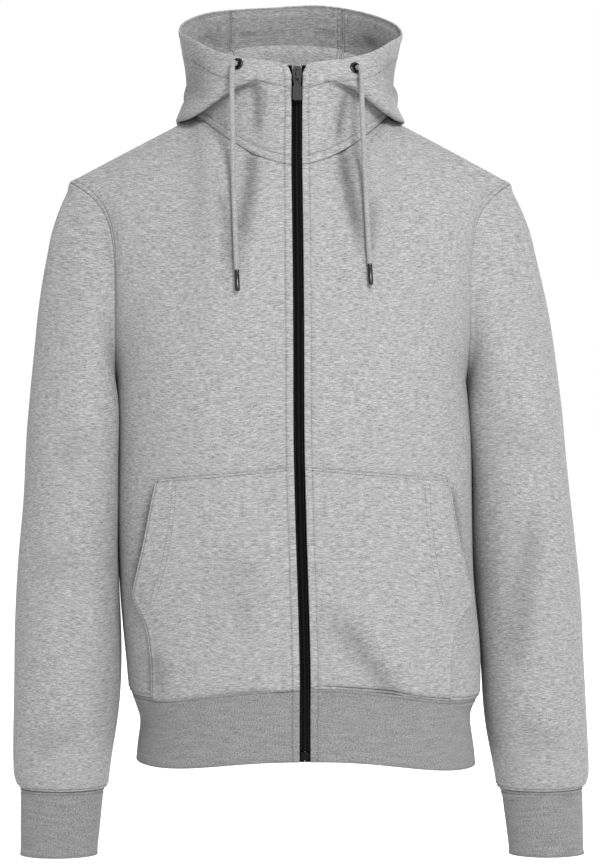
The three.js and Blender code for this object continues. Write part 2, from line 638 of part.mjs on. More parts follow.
// The slider's body with the bail that the pull hangs in; its front face is at y = 0
function sliderBody() {
  const outline = new THREE.Shape();
  const [wide, narrow, half] = [SLIDER.width / 2, SLIDER.width / 2 - 1, SLIDER.length / 2];
  outline.moveTo(-narrow, -half);
  outline.lineTo(narrow, -half);
  outline.lineTo(wide, half - 4);
  outline.lineTo(wide - 1.5, half);
  outline.lineTo(-wide + 1.5, half);
  outline.lineTo(-wide, half - 4);
  outline.closePath();
  const body = toSolid(plate(outline, SLIDER.thick));
  const high = SLIDER.bailHeight + SLIDER.bailThick;
  const arch = new THREE.Shape();
  arch.moveTo(SLIDER.bailFrom, -1);
  arch.lineTo(SLIDER.bailFrom, high - 1);
  arch.lineTo(SLIDER.bailFrom + 1, high);
  arch.lineTo(SLIDER.bailTo - 1.5, high);
  arch.lineTo(SLIDER.bailTo, high - 1.5);
  arch.lineTo(SLIDER.bailTo, -1);
  arch.lineTo(SLIDER.bailTo - SLIDER.bailThick, -1);
  arch.lineTo(SLIDER.bailTo - SLIDER.bailThick, SLIDER.bailHeight);
  arch.lineTo(SLIDER.bailFrom + SLIDER.bailThick, SLIDER.bailHeight);
  arch.lineTo(SLIDER.bailFrom + SLIDER.bailThick, -1);
  arch.closePath();
  const bail = new THREE.ExtrudeGeometry(arch, { depth: SLIDER.bailWidth, bevelEnabled: false });
  bail.translate(0, 0, -SLIDER.bailWidth / 2);
  // The arch's first axis becomes Z, its second -Y and its depth X
  bail.applyMatrix4(new THREE.Matrix4().set(0, 0, 1, 0, 0, -1, 0, 0, 1, 0, 0, 0, 0, 0, 0, 1));
  return toGeometry(body.add(toSolid(bail)));
}

// The pull: a tab under an eye; its hinge line, the middle of the eye's top bar, is at the origin
function pullTab() {
  const shape = new THREE.Shape();
  const [eye, tab] = [PULL.eyeWidth / 2, PULL.width / 2];
  const top = PULL.bar / 2;
  shape.moveTo(-eye, top);
  shape.lineTo(-eye, -PULL.eyeLength);
  shape.lineTo(-tab, -PULL.eyeLength - 2);
  shape.lineTo(-tab, -PULL.length + 2);
  shape.absarc(-tab + 2, -PULL.length + 2, 2, Math.PI, 1.5 * Math.PI);
  shape.absarc(tab - 2, -PULL.length + 2, 2, 1.5 * Math.PI, 2 * Math.PI);
  shape.lineTo(tab, -PULL.eyeLength - 2);
  shape.lineTo(eye, -PULL.eyeLength);
  shape.lineTo(eye, top);
  shape.closePath();
  const hole = new THREE.Path();
  const half = PULL.holeWidth / 2;
  hole.moveTo(-half, -top);
  hole.lineTo(-half, -PULL.eyeLength + 1);
  hole.lineTo(half, -PULL.eyeLength + 1);
  hole.lineTo(half, -top);
  hole.closePath();
  shape.holes.push(hole);
  return plate(shape, PULL.thick).translate(0, -PULL.thick / 2, 0);
}

function lathe(points, segments) {
  return new THREE.LatheGeometry(points.map(([r, h]) => new THREE.Vector2(r, h)), segments);
}

function eyeletRing() {
  const { outer, hole, height } = EYELET;
  return lathe([
    [hole, 0], [outer, 0], [outer - 0.2, height * 0.6], [(outer + hole) / 2, height], [hole, height * 0.7], [hole, 0],
  ], 16);
}

function aglet() {
  const { radius, length } = AGLET;
  return lathe([
    [0, 0], [radius - 0.5, 0], [radius, 0.6], [radius, length - 1.2], [radius - 0.8, length], [0, length],
  ], 12);
}

function cordTube(route) {
  const section = new THREE.Shape();
  const radius = CORD.diameter / 2;
  for (let i = 0; i < CORD.sides; i += 1) {
    const turn = (2 * Math.PI * i) / CORD.sides;
    const [x, y] = [radius * Math.cos(turn), radius * Math.sin(turn)];
    if (i === 0) section.moveTo(x, y);
    else section.lineTo(x, y);
  }
  const path = new THREE.CatmullRomCurve3(route.map((point) => new THREE.Vector3(...point)));
  return new THREE.ExtrudeGeometry(section, { steps: CORD.steps, extrudePath: path, bevelEnabled: false });
}

// The outward direction of the hood's face at a point of it
function hoodNormal(angle, v, side) {
  const step = 0.01;
  const along = mirror(hoodPoint(angle + 1, v), side).sub(mirror(hoodPoint(angle - 1, v), side));
  const up = mirror(hoodPoint(angle, v + step), side).sub(mirror(hoodPoint(angle, v - step), side));
  return along.cross(up).normalize().multiplyScalar(side);
}

const UP = new THREE.Vector3(0, 1, 0);
const COLOURS = { fleece: 0xb4b4b4, rib: 0x999999, zip: 0x101010, metal: 0x46474a, cord: 0xa5a5a5 };

function addPiece(group, name, geometry, colour, roughness, metalness = 0) {
  const material = new THREE.MeshStandardMaterial({ color: colour, roughness, metalness });
  const mesh = new THREE.Mesh(geometry, material);
  mesh.name = name;
  group.add(mesh);
  return mesh;
}

function addDrawstring(group, word, side) {
  const { angle, v } = EYELET_PLACES[word];
  const normal = hoodNormal(angle, v, side);
  const seat = mirror(hoodPoint(angle, v), side).addScaledVector(normal, SEAM_GAP);
  const ring = addPiece(group, `eyelet_${word}`, eyeletRing(), COLOURS.metal, 0.35, 0.9);
  ring.position.copy(seat);
  ring.quaternion.setFromUnitVectors(UP, normal);

  const route = word === "left" ? CORD_LEFT : CORD_RIGHT;
  addPiece(group, `cord_${word}`, cordTube(route), COLOURS.cord, 0.9);
  const end = new THREE.Vector3(...route[route.length - 1]);
  const direction = end.clone().sub(new THREE.Vector3(...route[route.length - 2])).normalize();
  const tip = addPiece(group, `aglet_${word}`, aglet(), COLOURS.metal, 0.35, 0.9);
  tip.position.copy(end).addScaledVector(direction, SEAM_GAP);
  tip.quaternion.setFromUnitVectors(UP, direction);
}

function addZipHardware(group) {
  const sliderZ = SLIDER.topZ - SLIDER.length / 2;
  const face = zipPoint(0, placeOnFront(sliderZ), ZIP.depth - SEAM_GAP - SLIDER.thick);
  const slider = addPiece(group, "zip_slider", sliderBody(), COLOURS.metal, 0.35, 0.9);
  slider.position.copy(face);
  const pull = addPiece(group, "zip_pull", pullTab(), COLOURS.metal, 0.35, 0.9);
  pull.position.set(face.x, face.y - PULL.hingeReach, face.z + PULL.hingeRise);
  const boxMiddle = BOX.topZ - BOX.height / 2;
  const boxFace = zipPoint(0, placeOnFront(boxMiddle), ZIP.depth - SEAM_GAP - BOX.thick);
  const box = addPiece(group, "zip_box", plate(roundedOutline(BOX.width, BOX.height, 1), BOX.thick), COLOURS.zip, 0.5);
  box.position.set(boxFace.x, boxFace.y, boxMiddle);
}

const hoodie = new THREE.Group();
for (const [word, side] of [["left", -1], ["right", 1]]) {
  addPiece(hoodie, `front_${word}`, frontPanel(side), COLOURS.fleece, 0.95);
  addPiece(hoodie, `sleeve_${word}`, sleeve(side), COLOURS.fleece, 0.95);
  addPiece(hoodie, `cuff_${word}`, cuff(side), COLOURS.rib, 0.95);
  addPiece(hoodie, `hood_${word}`, hoodSide(side), COLOURS.fleece, 0.95);
  addPiece(hoodie, `pocket_${word}`, pocket(side), COLOURS.fleece, 0.95);
  addPiece(hoodie, `zip_tape_${word}`, zipTape(side), COLOURS.zip, 0.8);
  addDrawstring(hoodie, word, side);
}
addPiece(hoodie, "back", backPanel(), COLOURS.fleece, 0.95);
addPiece(hoodie, "hem_rib", ribBand(), COLOURS.rib, 0.95);
addPiece(hoodie, "hood_centre", hoodCentre(), COLOURS.fleece, 0.95);
addPiece(hoodie, "zip_chain", zipChain(), COLOURS.zip, 0.5);
addZipHardware(hoodie);

export default hoodie;
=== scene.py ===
"""A heather grey zip up hoodie, filled out as if worn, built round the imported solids.

The surfaces follow the same sections as the solids do, at a finer spacing, and get their seams, folds and
stitches here. Sections, tables and widths are in millimetres, and MM turns them into Blender's metres.
Left and right are as seen from the front: left is -X. The front looks towards -Y.
"""
import math

import bmesh
import bpy
import numpy as np
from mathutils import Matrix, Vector


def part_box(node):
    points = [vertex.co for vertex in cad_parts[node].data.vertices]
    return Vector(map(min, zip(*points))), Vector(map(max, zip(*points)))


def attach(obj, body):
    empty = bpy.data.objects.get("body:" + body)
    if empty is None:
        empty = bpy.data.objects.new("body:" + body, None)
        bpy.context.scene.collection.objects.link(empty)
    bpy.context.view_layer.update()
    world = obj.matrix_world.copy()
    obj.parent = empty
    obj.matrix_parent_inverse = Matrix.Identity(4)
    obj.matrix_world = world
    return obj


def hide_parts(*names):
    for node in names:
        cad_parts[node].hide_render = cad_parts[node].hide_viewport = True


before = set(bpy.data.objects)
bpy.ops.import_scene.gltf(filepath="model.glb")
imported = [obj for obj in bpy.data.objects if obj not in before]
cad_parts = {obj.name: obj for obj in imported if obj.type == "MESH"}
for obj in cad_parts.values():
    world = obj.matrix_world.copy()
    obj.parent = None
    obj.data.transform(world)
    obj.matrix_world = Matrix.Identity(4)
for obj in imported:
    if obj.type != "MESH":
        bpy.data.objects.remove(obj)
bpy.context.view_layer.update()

MM = 0.001
BODY = "garment"

# Camera, as the photograph is framed: 600 x 864 pixels at 1.08 mm a pixel, seen from a little to the left
IMAGE_HEIGHT = 864
PIXEL = 0.00108
CAMERA_DISTANCE = 3.0
CAMERA_AZIMUTH = math.radians(-3)
CAMERA_HEIGHT = -0.26
AIM = Vector((0.00972, 0, -0.33912))

camera_data = bpy.data.cameras.new("camera")
camera_data.sensor_fit = "VERTICAL"
camera_data.sensor_height = 24
camera_data.lens = 24 * CAMERA_DISTANCE / (IMAGE_HEIGHT * PIXEL)
camera = bpy.data.objects.new("camera", camera_data)
camera.location = (
    AIM.x + CAMERA_DISTANCE * math.sin(CAMERA_AZIMUTH),
    -CAMERA_DISTANCE * math.cos(CAMERA_AZIMUTH),
    CAMERA_HEIGHT,
)
camera.rotation_euler = (AIM - camera.location).to_track_quat("-Z", "Y").to_euler()
bpy.context.collection.objects.link(camera)
bpy.context.scene.camera = camera
bpy.context.scene.view_settings.view_transform = "Standard"

# Small maths


def mix(a, b, t):
    return a + (b - a) * t


def smooth(t):
    t = np.clip(t, 0, 1)
    return t * t * (3 - 2 * t)


def signed_power(value, power):
    return np.sign(value) * np.abs(value) ** power


def vec(x, y, z):
    return np.stack(np.broadcast_arrays(x, y, z), axis=-1).astype(float)


def table(names, rows):
    """A table of sections as one array for each named column."""
    return {name: np.array([row[i] for row in rows], float) for i, name in enumerate(names.split())}


def curve_at(values, place):
    """A smooth curve through the rows of an array, at fractional row numbers."""
    place = np.asarray(place, float)
    count = len(values)
    i = np.clip(np.floor(place).astype(int), 0, count - 2)
    t = place - i
    a, b = values[np.maximum(i - 1, 0)], values[i]
    c, d = values[i + 1], values[np.minimum(i + 2, count - 1)]
    wide = [1] * (values.ndim - 1)
    t = t.reshape(t.shape + tuple(wide))
    at_start = np.where(i > 0, 2.0, 1.0).reshape(t.shape)
    at_end = np.where(i + 2 < count, 2.0, 1.0).reshape(t.shape)
    slope_b, slope_c = (c - a) / at_start, (d - b) / at_end
    return (
        (2 * t**3 - 3 * t**2 + 1) * b + (t**3 - 2 * t**2 + t) * slope_b
        + (3 * t**2 - 2 * t**3) * c + (t**3 - t**2) * slope_c
    )


def row_at(rows, place):
    return {name: curve_at(column, place) for name, column in rows.items()}


def place_of(rows, name, value):
    """The fractional row number where a steadily rising or falling column has a value."""
    column = rows[name]
    places = np.linspace(0, len(column) - 1, 600)
    values = curve_at(column, places)
    if values[-1] < values[0]:
        places, values = places[::-1], values[::-1]
    return np.interp(value, values, places)


def hermite(start, start_slope, end, end_slope, t):
    t = np.asarray(t)[..., None]
    return (
        (2 * t**3 - 3 * t**2 + 1) * start + (t**3 - 2 * t**2 + t) * start_slope
        + (3 * t**2 - 2 * t**3) * end + (t**3 - t**2) * end_slope
    )


def mirror(points, side):
    return points * np.array([side, 1, 1])


# Meshes and objects

MATERIALS = {}


def mesh_object(name, verts, faces, material, uvs=None, shade_smooth=True, body=BODY):
    """An object from points in millimetres, riding on a body."""
    mesh = bpy.data.meshes.new(name)
    mesh.from_pydata((np.asarray(verts) * MM).tolist(), [], faces)
    if uvs is not None:
        layer = mesh.uv_layers.new(name="cloth")
        loops = np.array([v for face in faces for v in face])
        layer.data.foreach_set("uv", (np.asarray(uvs)[loops] * MM).ravel())
    mesh.polygons.foreach_set("use_smooth", [shade_smooth] * len(faces))
    mesh.materials.append(MATERIALS[material])
    mesh.update()
    piece = bpy.data.objects.new(name, mesh)
    bpy.context.collection.objects.link(piece)
    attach(piece, body)
    return piece


def grid_faces(rows, columns, closed=False, flip=False, start=0):
    last = columns if closed else columns - 1
    faces = []
    for j in range(rows - 1):
        for i in range(last):
            a = start + j * columns + i
            b = start + j * columns + (i + 1) % columns
            c, d = b + columns, a + columns
            faces.append((a, d, c, b) if flip else (a, b, c, d))
    return faces


def grid_normals(points, closed=False, flip=False):
    if closed:
        along = np.roll(points, -1, axis=1) - np.roll(points, 1, axis=1)
    else:
        along = np.gradient(points, axis=1)
    normal = np.cross(along, np.gradient(points, axis=0))
    normal /= np.maximum(np.linalg.norm(normal, axis=-1, keepdims=True), 1e-9)
    return -normal if flip else normal


# Body sections, the same as in the solids

CLOTH = 2.0
RIB_CLOTH = 2.2
SEAM_GAP = 0.05  # the drawn cloth meets at its seams, where the solids stay 0.3 apart
CURVE_POWER = 2.4
NECK = {"half": 103, "front": 98, "back": 88, "front_z": -58, "side_z": 0, "back_z": 11, "rise": 1.8}
SHOULDER_TIP = (238, -71)
ARMPIT = (188, -285)
ARMHOLE = {"front": 54, "back": 60, "hollow": 8}
NECK_SHARE = 0.42
ZIP_GAP, ZIP_DEPTH = 5.7, 4.2
ZIP_TOP_X, ZIP_SWAY, ZIP_SWAY_FROM, ZIP_SWAY_OVER = 1.2, 7, -300, 340
ZIP_PARTING = 4.5
HEM_RISE_POWER, HEM_TILT = 5, 3

BODY_RINGS = table("z half front back shift rise", [
    (-285, 188, 138, 128, 0, 0),
    (-330, 190.5, 138, 125, 2, 0),
    (-380, 191.5, 137, 122, 3.5, 0),
    (-450, 191, 135, 118, 4, 2),
    (-510, 191.5, 134, 119, 7.2, 6),
    (-560, 192, 134, 123, 11.8, 12),
    (-592, 191, 134, 126, 14, 15.5),
    (-607, 190.4, 133.6, 126, 14.5, 17),
    (-616, 189.2, 133, 125.2, 14.8, 18),
    (-620, 187, 132, 123, 14.5, 18),
])
RIB_RINGS = table("z half front back shift rise", [
    (-620.1, 186.8, 131.9, 122.8, 14.4, 18),
    (-636, 180.5, 130, 119, 13.5, 16.5),
    (-652, 178, 129.5, 117, 16, 15),
    (-676, 182, 130.5, 119.5, 16, 14),
    (-693.5, 183.5, 131, 120.5, 16, 15),
])
SLEEVE_RINGS = table("z outer width depth y", [
    (-335, 292, 124, 146, 5),
    (-418, 299.5, 121, 136, 3),
    (-515, 307, 119, 126, 0),
    (-580, 310.5, 119, 118, -2),
    (-635, 312.8, 115.6, 108, -4),
    (-682, 313.5, 108.2, 98, -5),
    (-707, 312.8, 103.7, 91, -6),
    (-717, 309, 98, 84, -6),
    (-721, 305, 91, 75, -6),
])
CUFF_RINGS = table("z outer width depth y", [
    (-721.5, 304.3, 90, 74, -6),
    (-740, 304.6, 88, 70, -6),
    (-765, 305.2, 85.6, 66, -7),
    (-793, 305.8, 83.2, 62, -7),
])
SLEEVE_SHIFT, SLEEVE_LEAN, RIGHT_DROP, SLEEVE_CLEARANCE = 2, 0.016, 4, 0.6

HOOD_COLUMNS = "angle stand_r stand_z top_r top_z fold fold_z in_r out_r low_z low_rise mid_r mid_z rim_r rim_z"
HOOD_STATIONS = table(HOOD_COLUMNS, [
    (0, 99, -32, 100, -8, 1, 6, 102, 103, 18, 8, 104, 34, 104.5, 43),
    (9, 99, -30, 100, -4, 1.5, 10, 103, 105, 26, 7, 106, 40, 105.5, 48),
    (28, 99, -8, 100, 32, 4, 3, 106, 114.5, 27, -1, 114, 43, 107.5, 54),
    (45, 101, -6, 102, 20, 4, 2, 109, 121, 8, -1, 117, 38, 111, 62),
    (65, 104, 5, 105, 17, 4, 2, 111, 125, -5, -4, 110, 30, 117, 78),
    (90, 106, 13, 107, 26, 5, 2, 114, 128, -4, -5, 106.5, 22, 120.5, 91),
    (115, 103, 22, 103, 50, 8, 2, 118, 138, -8, -4, 114, 42, 122, 108),
    (140, 94, 40, 94, 76, 12, 2, 134, 162, -52, -4, 138, 50, 120, 123),
    (162, 89, 46, 88, 84, 15, 2, 134, 174, -100, -4, 148, 42, 118, 130),
    (180, 88, 46, 86, 86, 16, 2, 136, 178, -112, -4, 151, 40, 117, 132),
])
HOOD_CENTRE_HALF = (50, 60, 56)
RIM_WAVE = {"x": 38, "width": 42, "height": 4, "from_v": 0.7}

POCKET_EDGE = table("z left right", [
    (-386, 145, 160),
    (-420, 149, 163),
    (-455, 154, 168),
    (-488, 161, 177),
    (-512, 166, 186),
    (-532, 158, 175),
    (-560, 152, 166),
    (-610, 150, 163),
])
POCKET = {
    "top_z": -372, "top_drop": 14, "bottom_z": -611, "cloth": 1.8, "clear": 1.4,
    "open_from": -386, "open_to": -545, "stand": 6,
}


def last_row(rows):
    return len(rows["z"]) - 1


def zip_x(z):
    return ZIP_TOP_X + ZIP_SWAY * smooth((ZIP_SWAY_FROM - z) / ZIP_SWAY_OVER)


def ring_point(ring, angle, side):
    angle = np.radians(angle)
    across = signed_power(np.sin(angle), 2 / CURVE_POWER)
    depth = signed_power(np.cos(angle), 2 / CURVE_POWER)
    lift = np.maximum(0, np.cos(angle)) ** HEM_RISE_POWER
    tilt = HEM_TILT * side * np.sin(angle) * smooth((-450 - ring["z"]) / 150)
    return vec(
        ring["half"] * across + side * ring["shift"],
        -depth * np.where(depth > 0, ring["front"], ring["back"]),
        ring["z"] + ring["rise"] * lift - tilt,
    )


def ring_angle(ring, x, side):
    across = signed_power((x - side * ring["shift"]) / ring["half"], CURVE_POWER / 2)
    return np.degrees(np.arcsin(np.minimum(1, across)))


def neck_point(angle):
    x, y = np.sin(np.radians(angle)), np.cos(np.radians(angle))
    front = mix(NECK["front_z"], NECK["side_z"], np.abs(x) ** NECK["rise"])
    back = mix(NECK["side_z"], NECK["back_z"], y * y)
    return vec(
        NECK["half"] * x,
        -y * np.where(y > 0, NECK["front"], NECK["back"]),
        np.where(y > 0, front, back),
    )


def armhole_point(angle):
    height = (1 - np.cos(np.radians(angle))) / 2
    out = np.sin(np.radians(angle))
    return vec(
        mix(ARMPIT[0], SHOULDER_TIP[0], height ** ARMHOLE["hollow"]),
        -out * np.where(out > 0, ARMHOLE["front"], ARMHOLE["back"]),
        mix(ARMPIT[1], SHOULDER_TIP[1], height),
    )


def panel_point(u, v, side, is_front):
    """One half of the front or back: v is -1 at the hem seam, 0 at the armpits and 1 at the top."""
    lower = row_at(BODY_RINGS, last_row(BODY_RINGS) * np.maximum(0, -v))
    if is_front:
        middle = ring_angle(lower, side * zip_x(lower["z"]) + ZIP_GAP, side)
    else:
        middle = np.full_like(u, 180.0)
    below = ring_point(lower, mix(middle, 90, u), side)

    turn = 180 * np.maximum(v, 0)
    armhole = armhole_point(turn if is_front else 360 - turn)
    cut = (np.abs(armhole[..., 1]) / (lower["front"] if is_front else lower["back"])) ** (CURVE_POWER / 2)
    side_angle = np.degrees(np.arccos(np.clip(cut if is_front else -cut, -1, 1)))
    bottom = ring_point(lower, mix(middle, side_angle, u), side)
    neck_start = 180.0
    if is_front:
        neck_start = math.degrees(math.asin((side * zip_x(NECK["front_z"]) + ZIP_GAP) / NECK["half"]))
    on_shoulder = np.clip((u - NECK_SHARE) / (1 - NECK_SHARE), 0, 1)[..., None]
    top = neck_point(mix(neck_start, 90, np.minimum(1, u / NECK_SHARE)))
    top = mix(top, np.array([SHOULDER_TIP[0], 0, SHOULDER_TIP[1]]), on_shoulder)
    height = top[..., 2] - bottom[..., 2]
    up = vec(0, 0, mix(1.25, 1.7, smooth(u)) * height)
    at_neck = vec(0, (0.3 if is_front else -0.42) * height, 0.95 * height)
    at_shoulder = vec(0, 1.65 * np.abs(bottom[..., 1]) * (1 if is_front else -1), 0)
    over = mix(at_neck, at_shoulder, smooth(u / NECK_SHARE)[..., None])
    above = hermite(bottom, up, top, over, np.maximum(v, 0))
    hollow = ((1 - np.cos(np.pi * np.maximum(v, 0))) / 2) ** ARMHOLE["hollow"]
    above[..., 0] = mix(bottom[..., 0], top[..., 0], mix(smooth(v), hollow, u * u))
    return np.where((v <= 0)[..., None], below, above)


def body_point(u, v, side, is_front):
    point = panel_point(u, v, side, is_front)
    turn = 180 * np.maximum(v, 0)
    armhole = armhole_point(turn if is_front else 360 - turn)
    pull = armhole - panel_point(np.ones_like(u), v, side, is_front)
    pull = pull * (v > 0)[..., None]
    return point + pull * smooth((u - 0.3) / 0.7)[..., None]


def body_side(y, z, side):
    """How far out the body's side reaches at a height and depth."""
    place = np.where(z > ARMPIT[1], 0, place_of(BODY_RINGS, "z", np.maximum(z, -612)))
    ring = row_at(BODY_RINGS, place)
    deep = np.abs(y) / np.where(y < 0, ring["front"], ring["back"])
    return ring["half"] * np.maximum(0, 1 - deep**CURVE_POWER) ** (1 / CURVE_POWER) + side * ring["shift"]


def sleeve_ring(ring, angle, side):
    lean = SLEEVE_SHIFT + SLEEVE_LEAN * (SHOULDER_TIP[1] - ring["z"])
    drop = RIGHT_DROP * smooth((-350 - ring["z"]) / 350) if side > 0 else 0
    angle = np.radians(angle)
    return vec(
        ring["outer"] - ring["width"] / 2 * (1 + np.cos(angle)) + side * lean,
        ring["y"] - ring["depth"] / 2 * np.sin(angle),
        ring["z"] - drop,
    )


def sleeve_point(angle, v, side):
    """v is 0 at the armhole, 1 at the first section and 2 at the cuff seam."""
    low = sleeve_ring(row_at(SLEEVE_RINGS, last_row(SLEEVE_RINGS) * np.maximum(v - 1, 0)), angle, side)
    end = sleeve_ring(row_at(SLEEVE_RINGS, np.zeros_like(v)), angle, side)
    top = (1 - np.cos(np.radians(angle))) / 2
    away = np.array([0.54, 0, -0.84])
    start = armhole_point(angle) + away * (3 * SEAM_GAP + 0.3 * top**4)[..., None]
    length = np.linalg.norm(start - end, axis=-1)[..., None]
    down = np.array([0.1, 0, -1]) * length
    head = hermite(start, away * length * 0.75, end, down, np.minimum(v, 1))
    point = np.where((v >= 1)[..., None], low, head)
    nearest = body_side(point[..., 1], point[..., 2], side) + SLEEVE_CLEARANCE
    reach = point[..., 0] - nearest
    pushed = nearest + (reach + np.sqrt(reach * reach + 36)) / 2 - 1.5
    point[..., 0] = np.where(v > 0.3, pushed, point[..., 0])
    return point


def hood_profile(angle, v):
    """Radius and height on the way from the neck seam, v at 0, over the fold and the roll to the rim."""
    row = row_at(HOOD_STATIONS, place_of(HOOD_STATIONS, "angle", angle))
    neck = neck_point(angle)
    seam = SEAM_GAP * (1 + 2.5 * np.maximum(0, np.cos(np.radians(angle))))
    corners = np.array([
        (np.hypot(neck[..., 0], neck[..., 1]), neck[..., 2] + seam),
        (row["stand_r"], row["stand_z"]),
        (row["top_r"], row["top_z"]),
        (row["top_r"] + row["fold"], row["top_z"] + row["fold_z"]),
        (row["in_r"], row["low_z"]),
        (row["out_r"], row["low_z"] + row["low_rise"]),
        (row["mid_r"], row["mid_z"]),
        (row["rim_r"], row["rim_z"]),
    ])
    corners = np.moveaxis(corners, 1, -1)
    legs = len(corners) - 2
    place = np.minimum(v * legs, legs - 1e-9)
    leg = np.floor(place).astype(int)
    t = (place - leg)[..., None]
    take = lambda k: np.take_along_axis(corners, np.clip(k, 0, legs + 1)[None, ..., None], axis=0)[0]
    first, middle, third = take(leg), take(leg + 1), take(leg + 2)
    before = np.where((leg == 0)[..., None], first, (first + middle) / 2)
    after = np.where((leg == legs - 1)[..., None], third, (middle + third) / 2)
    return (1 - t) ** 2 * before + 2 * t * (1 - t) * middle + t * t * after


def hood_point(angle, v):
    profile = hood_profile(angle, v)
    neck = neck_point(angle)
    plan = np.arctan2(neck[..., 0], -neck[..., 1])
    return vec(profile[..., 0] * np.sin(plan), -profile[..., 0] * np.cos(plan), profile[..., 1])


def hood_seam(v):
    neck, pouch, rim = HOOD_CENTRE_HALF
    half = np.where(v < 0.6, mix(neck, pouch, v / 0.6), mix(pouch, rim, (v - 0.6) / 0.4))
    angle = np.full_like(v, 150.0)
    for _ in range(12):
        angle = 180 - np.degrees(np.arcsin(half / hood_profile(angle, v)[..., 0]))
    return angle


def hood_start(v, side):
    parting = ZIP_GAP + ZIP_PARTING * smooth((v - 0.9) / 0.1)
    plan = np.arcsin((side * zip_x(0) + parting) / hood_profile(np.full_like(v, 4.0), v)[..., 0])
    return np.degrees(np.arctan(np.tan(plan) * NECK["front"] / NECK["half"]))


def rim_wave(points, v):
    """Lifts the back of the rim where it stands a little higher."""
    near = np.exp(-(((points[..., 0] - RIM_WAVE["x"]) / RIM_WAVE["width"]) ** 2)) * smooth(points[..., 1] / 60)
    points[..., 2] += RIM_WAVE["height"] * near * smooth((v - RIM_WAVE["from_v"]) / (1 - RIM_WAVE["from_v"]))
    return points


HOOD_SEAM_GAP = 0.1


def hood_side_point(u, v, side):
    front = mix(hood_start(v, side), 90, 2 * u)
    back = mix(90, hood_seam(v) - HOOD_SEAM_GAP, 2 * u - 1)
    return rim_wave(mirror(hood_point(np.where(u < 0.5, front, back), v), side), v)


def hood_centre_point(u, v):
    reach = 180 - (hood_seam(v) + HOOD_SEAM_GAP)
    point = hood_point(180 - np.abs(u) * reach, v)
    point[..., 0] *= np.where(u < 0, -1, 1)
    return rim_wave(point, v)


def pocket_point(u, v, side):
    side_z = mix(POCKET["open_from"], POCKET["bottom_z"], v)
    edge = curve_at(POCKET_EDGE["left" if side < 0 else "right"], place_of(POCKET_EDGE, "z", side_z))
    z = mix(POCKET["top_z"] - POCKET["top_drop"] * u, POCKET["bottom_z"], v)
    ring = row_at(BODY_RINGS, place_of(BODY_RINGS, "z", z))
    x = mix(side * zip_x(z) + ZIP_GAP, edge, u)
    return mirror(ring_point(ring, ring_angle(ring, x, side), side), side)


def pocket_stand_off(u, v):
    side_z = mix(POCKET["open_from"], POCKET["bottom_z"], v)
    along = np.clip((POCKET["open_from"] - side_z) / (POCKET["open_from"] - POCKET["open_to"]), 0, 1)
    opened = np.sin(np.pi * along) * smooth((u - 0.7) / 0.3)
    clear = mix(SEAM_GAP, POCKET["clear"], smooth(u / 0.28) * smooth(v / 0.08))
    return clear + POCKET["cloth"] + POCKET["stand"] * opened


# Cloth panels

STEP = 4.0  # spacing of the cloth's grid
EDGE_STEPS = [0, 0.7, 1.4, 2.1, 2.8, 3.6, 4.4, 5.2, 6, 7, 8.5, 10.5]  # and near a sewn edge
RELAX_ROUNDS = 12
HOLLOW_DEPTH = 3.5  # a fold or groove this deep gets the full painted shade in its colour
WAVES = [  # slow unevenness of the cloth: direction and wave number in 1/mm, phase, height in mm
    ((0.021, 0.004, 0.034), 0.4, 0.35),
    ((-0.032, 0.011, 0.019), 2.1, 0.3),
    ((0.012, 0.041, -0.027), 4.0, 0.3),
    ((0.055, -0.02, 0.012), 1.2, 0.18),
    ((-0.014, 0.03, 0.058), 5.3, 0.18),
    ((0.043, 0.036, -0.049), 3.3, 0.14),
]


def unevenness(points):
    total = np.zeros(points.shape[:-1])
    for direction, phase, height in WAVES:
        total += height * np.sin(points @ np.array(direction) + phase)
    return total


def relax(points, rounds, closed):
    """Evens out kinks between sections, with the edges held."""
    for _ in range(rounds):
        inner = points.copy()
        inner[1:-1] = (points[:-2] + points[2:] + 2 * points[1:-1]) / 4
        if closed:
            points = (np.roll(inner, 1, axis=1) + np.roll(inner, -1, axis=1) + 2 * inner) / 4
            points[[0, -1]] = inner[[0, -1]]
        else:
            points = inner.copy()
            points[1:-1, 1:-1] = (inner[1:-1, :-2] + inner[1:-1, 2:] + 2 * inner[1:-1, 1:-1]) / 4
    return points


def distances(points, axis):
    """How far each grid point is from the first edge along an axis."""
    steps = np.linalg.norm(np.diff(points, axis=axis), axis=-1)
    shape = list(steps.shape)
    shape[axis] = 1
    return np.concatenate([np.zeros(shape), np.cumsum(steps, axis=axis)], axis=axis)


def spread(arc, fine_start, fine_end, step):
    """Fractional grid places, a step apart, and closer near the edges that are sewn."""
    length, near = arc[-1], EDGE_STEPS[-1]
    first = near if fine_start else 0
    last = length - (near if fine_end else 0)
    middle = list(np.linspace(first, last, max(3, round((last - first) / step) + 1)))
    start = EDGE_STEPS[:-1] if fine_start else []
    end = [length - d for d in EDGE_STEPS[:-1]][::-1] if fine_end else []
    return np.interp(start + middle + end, arc, np.arange(len(arc)))


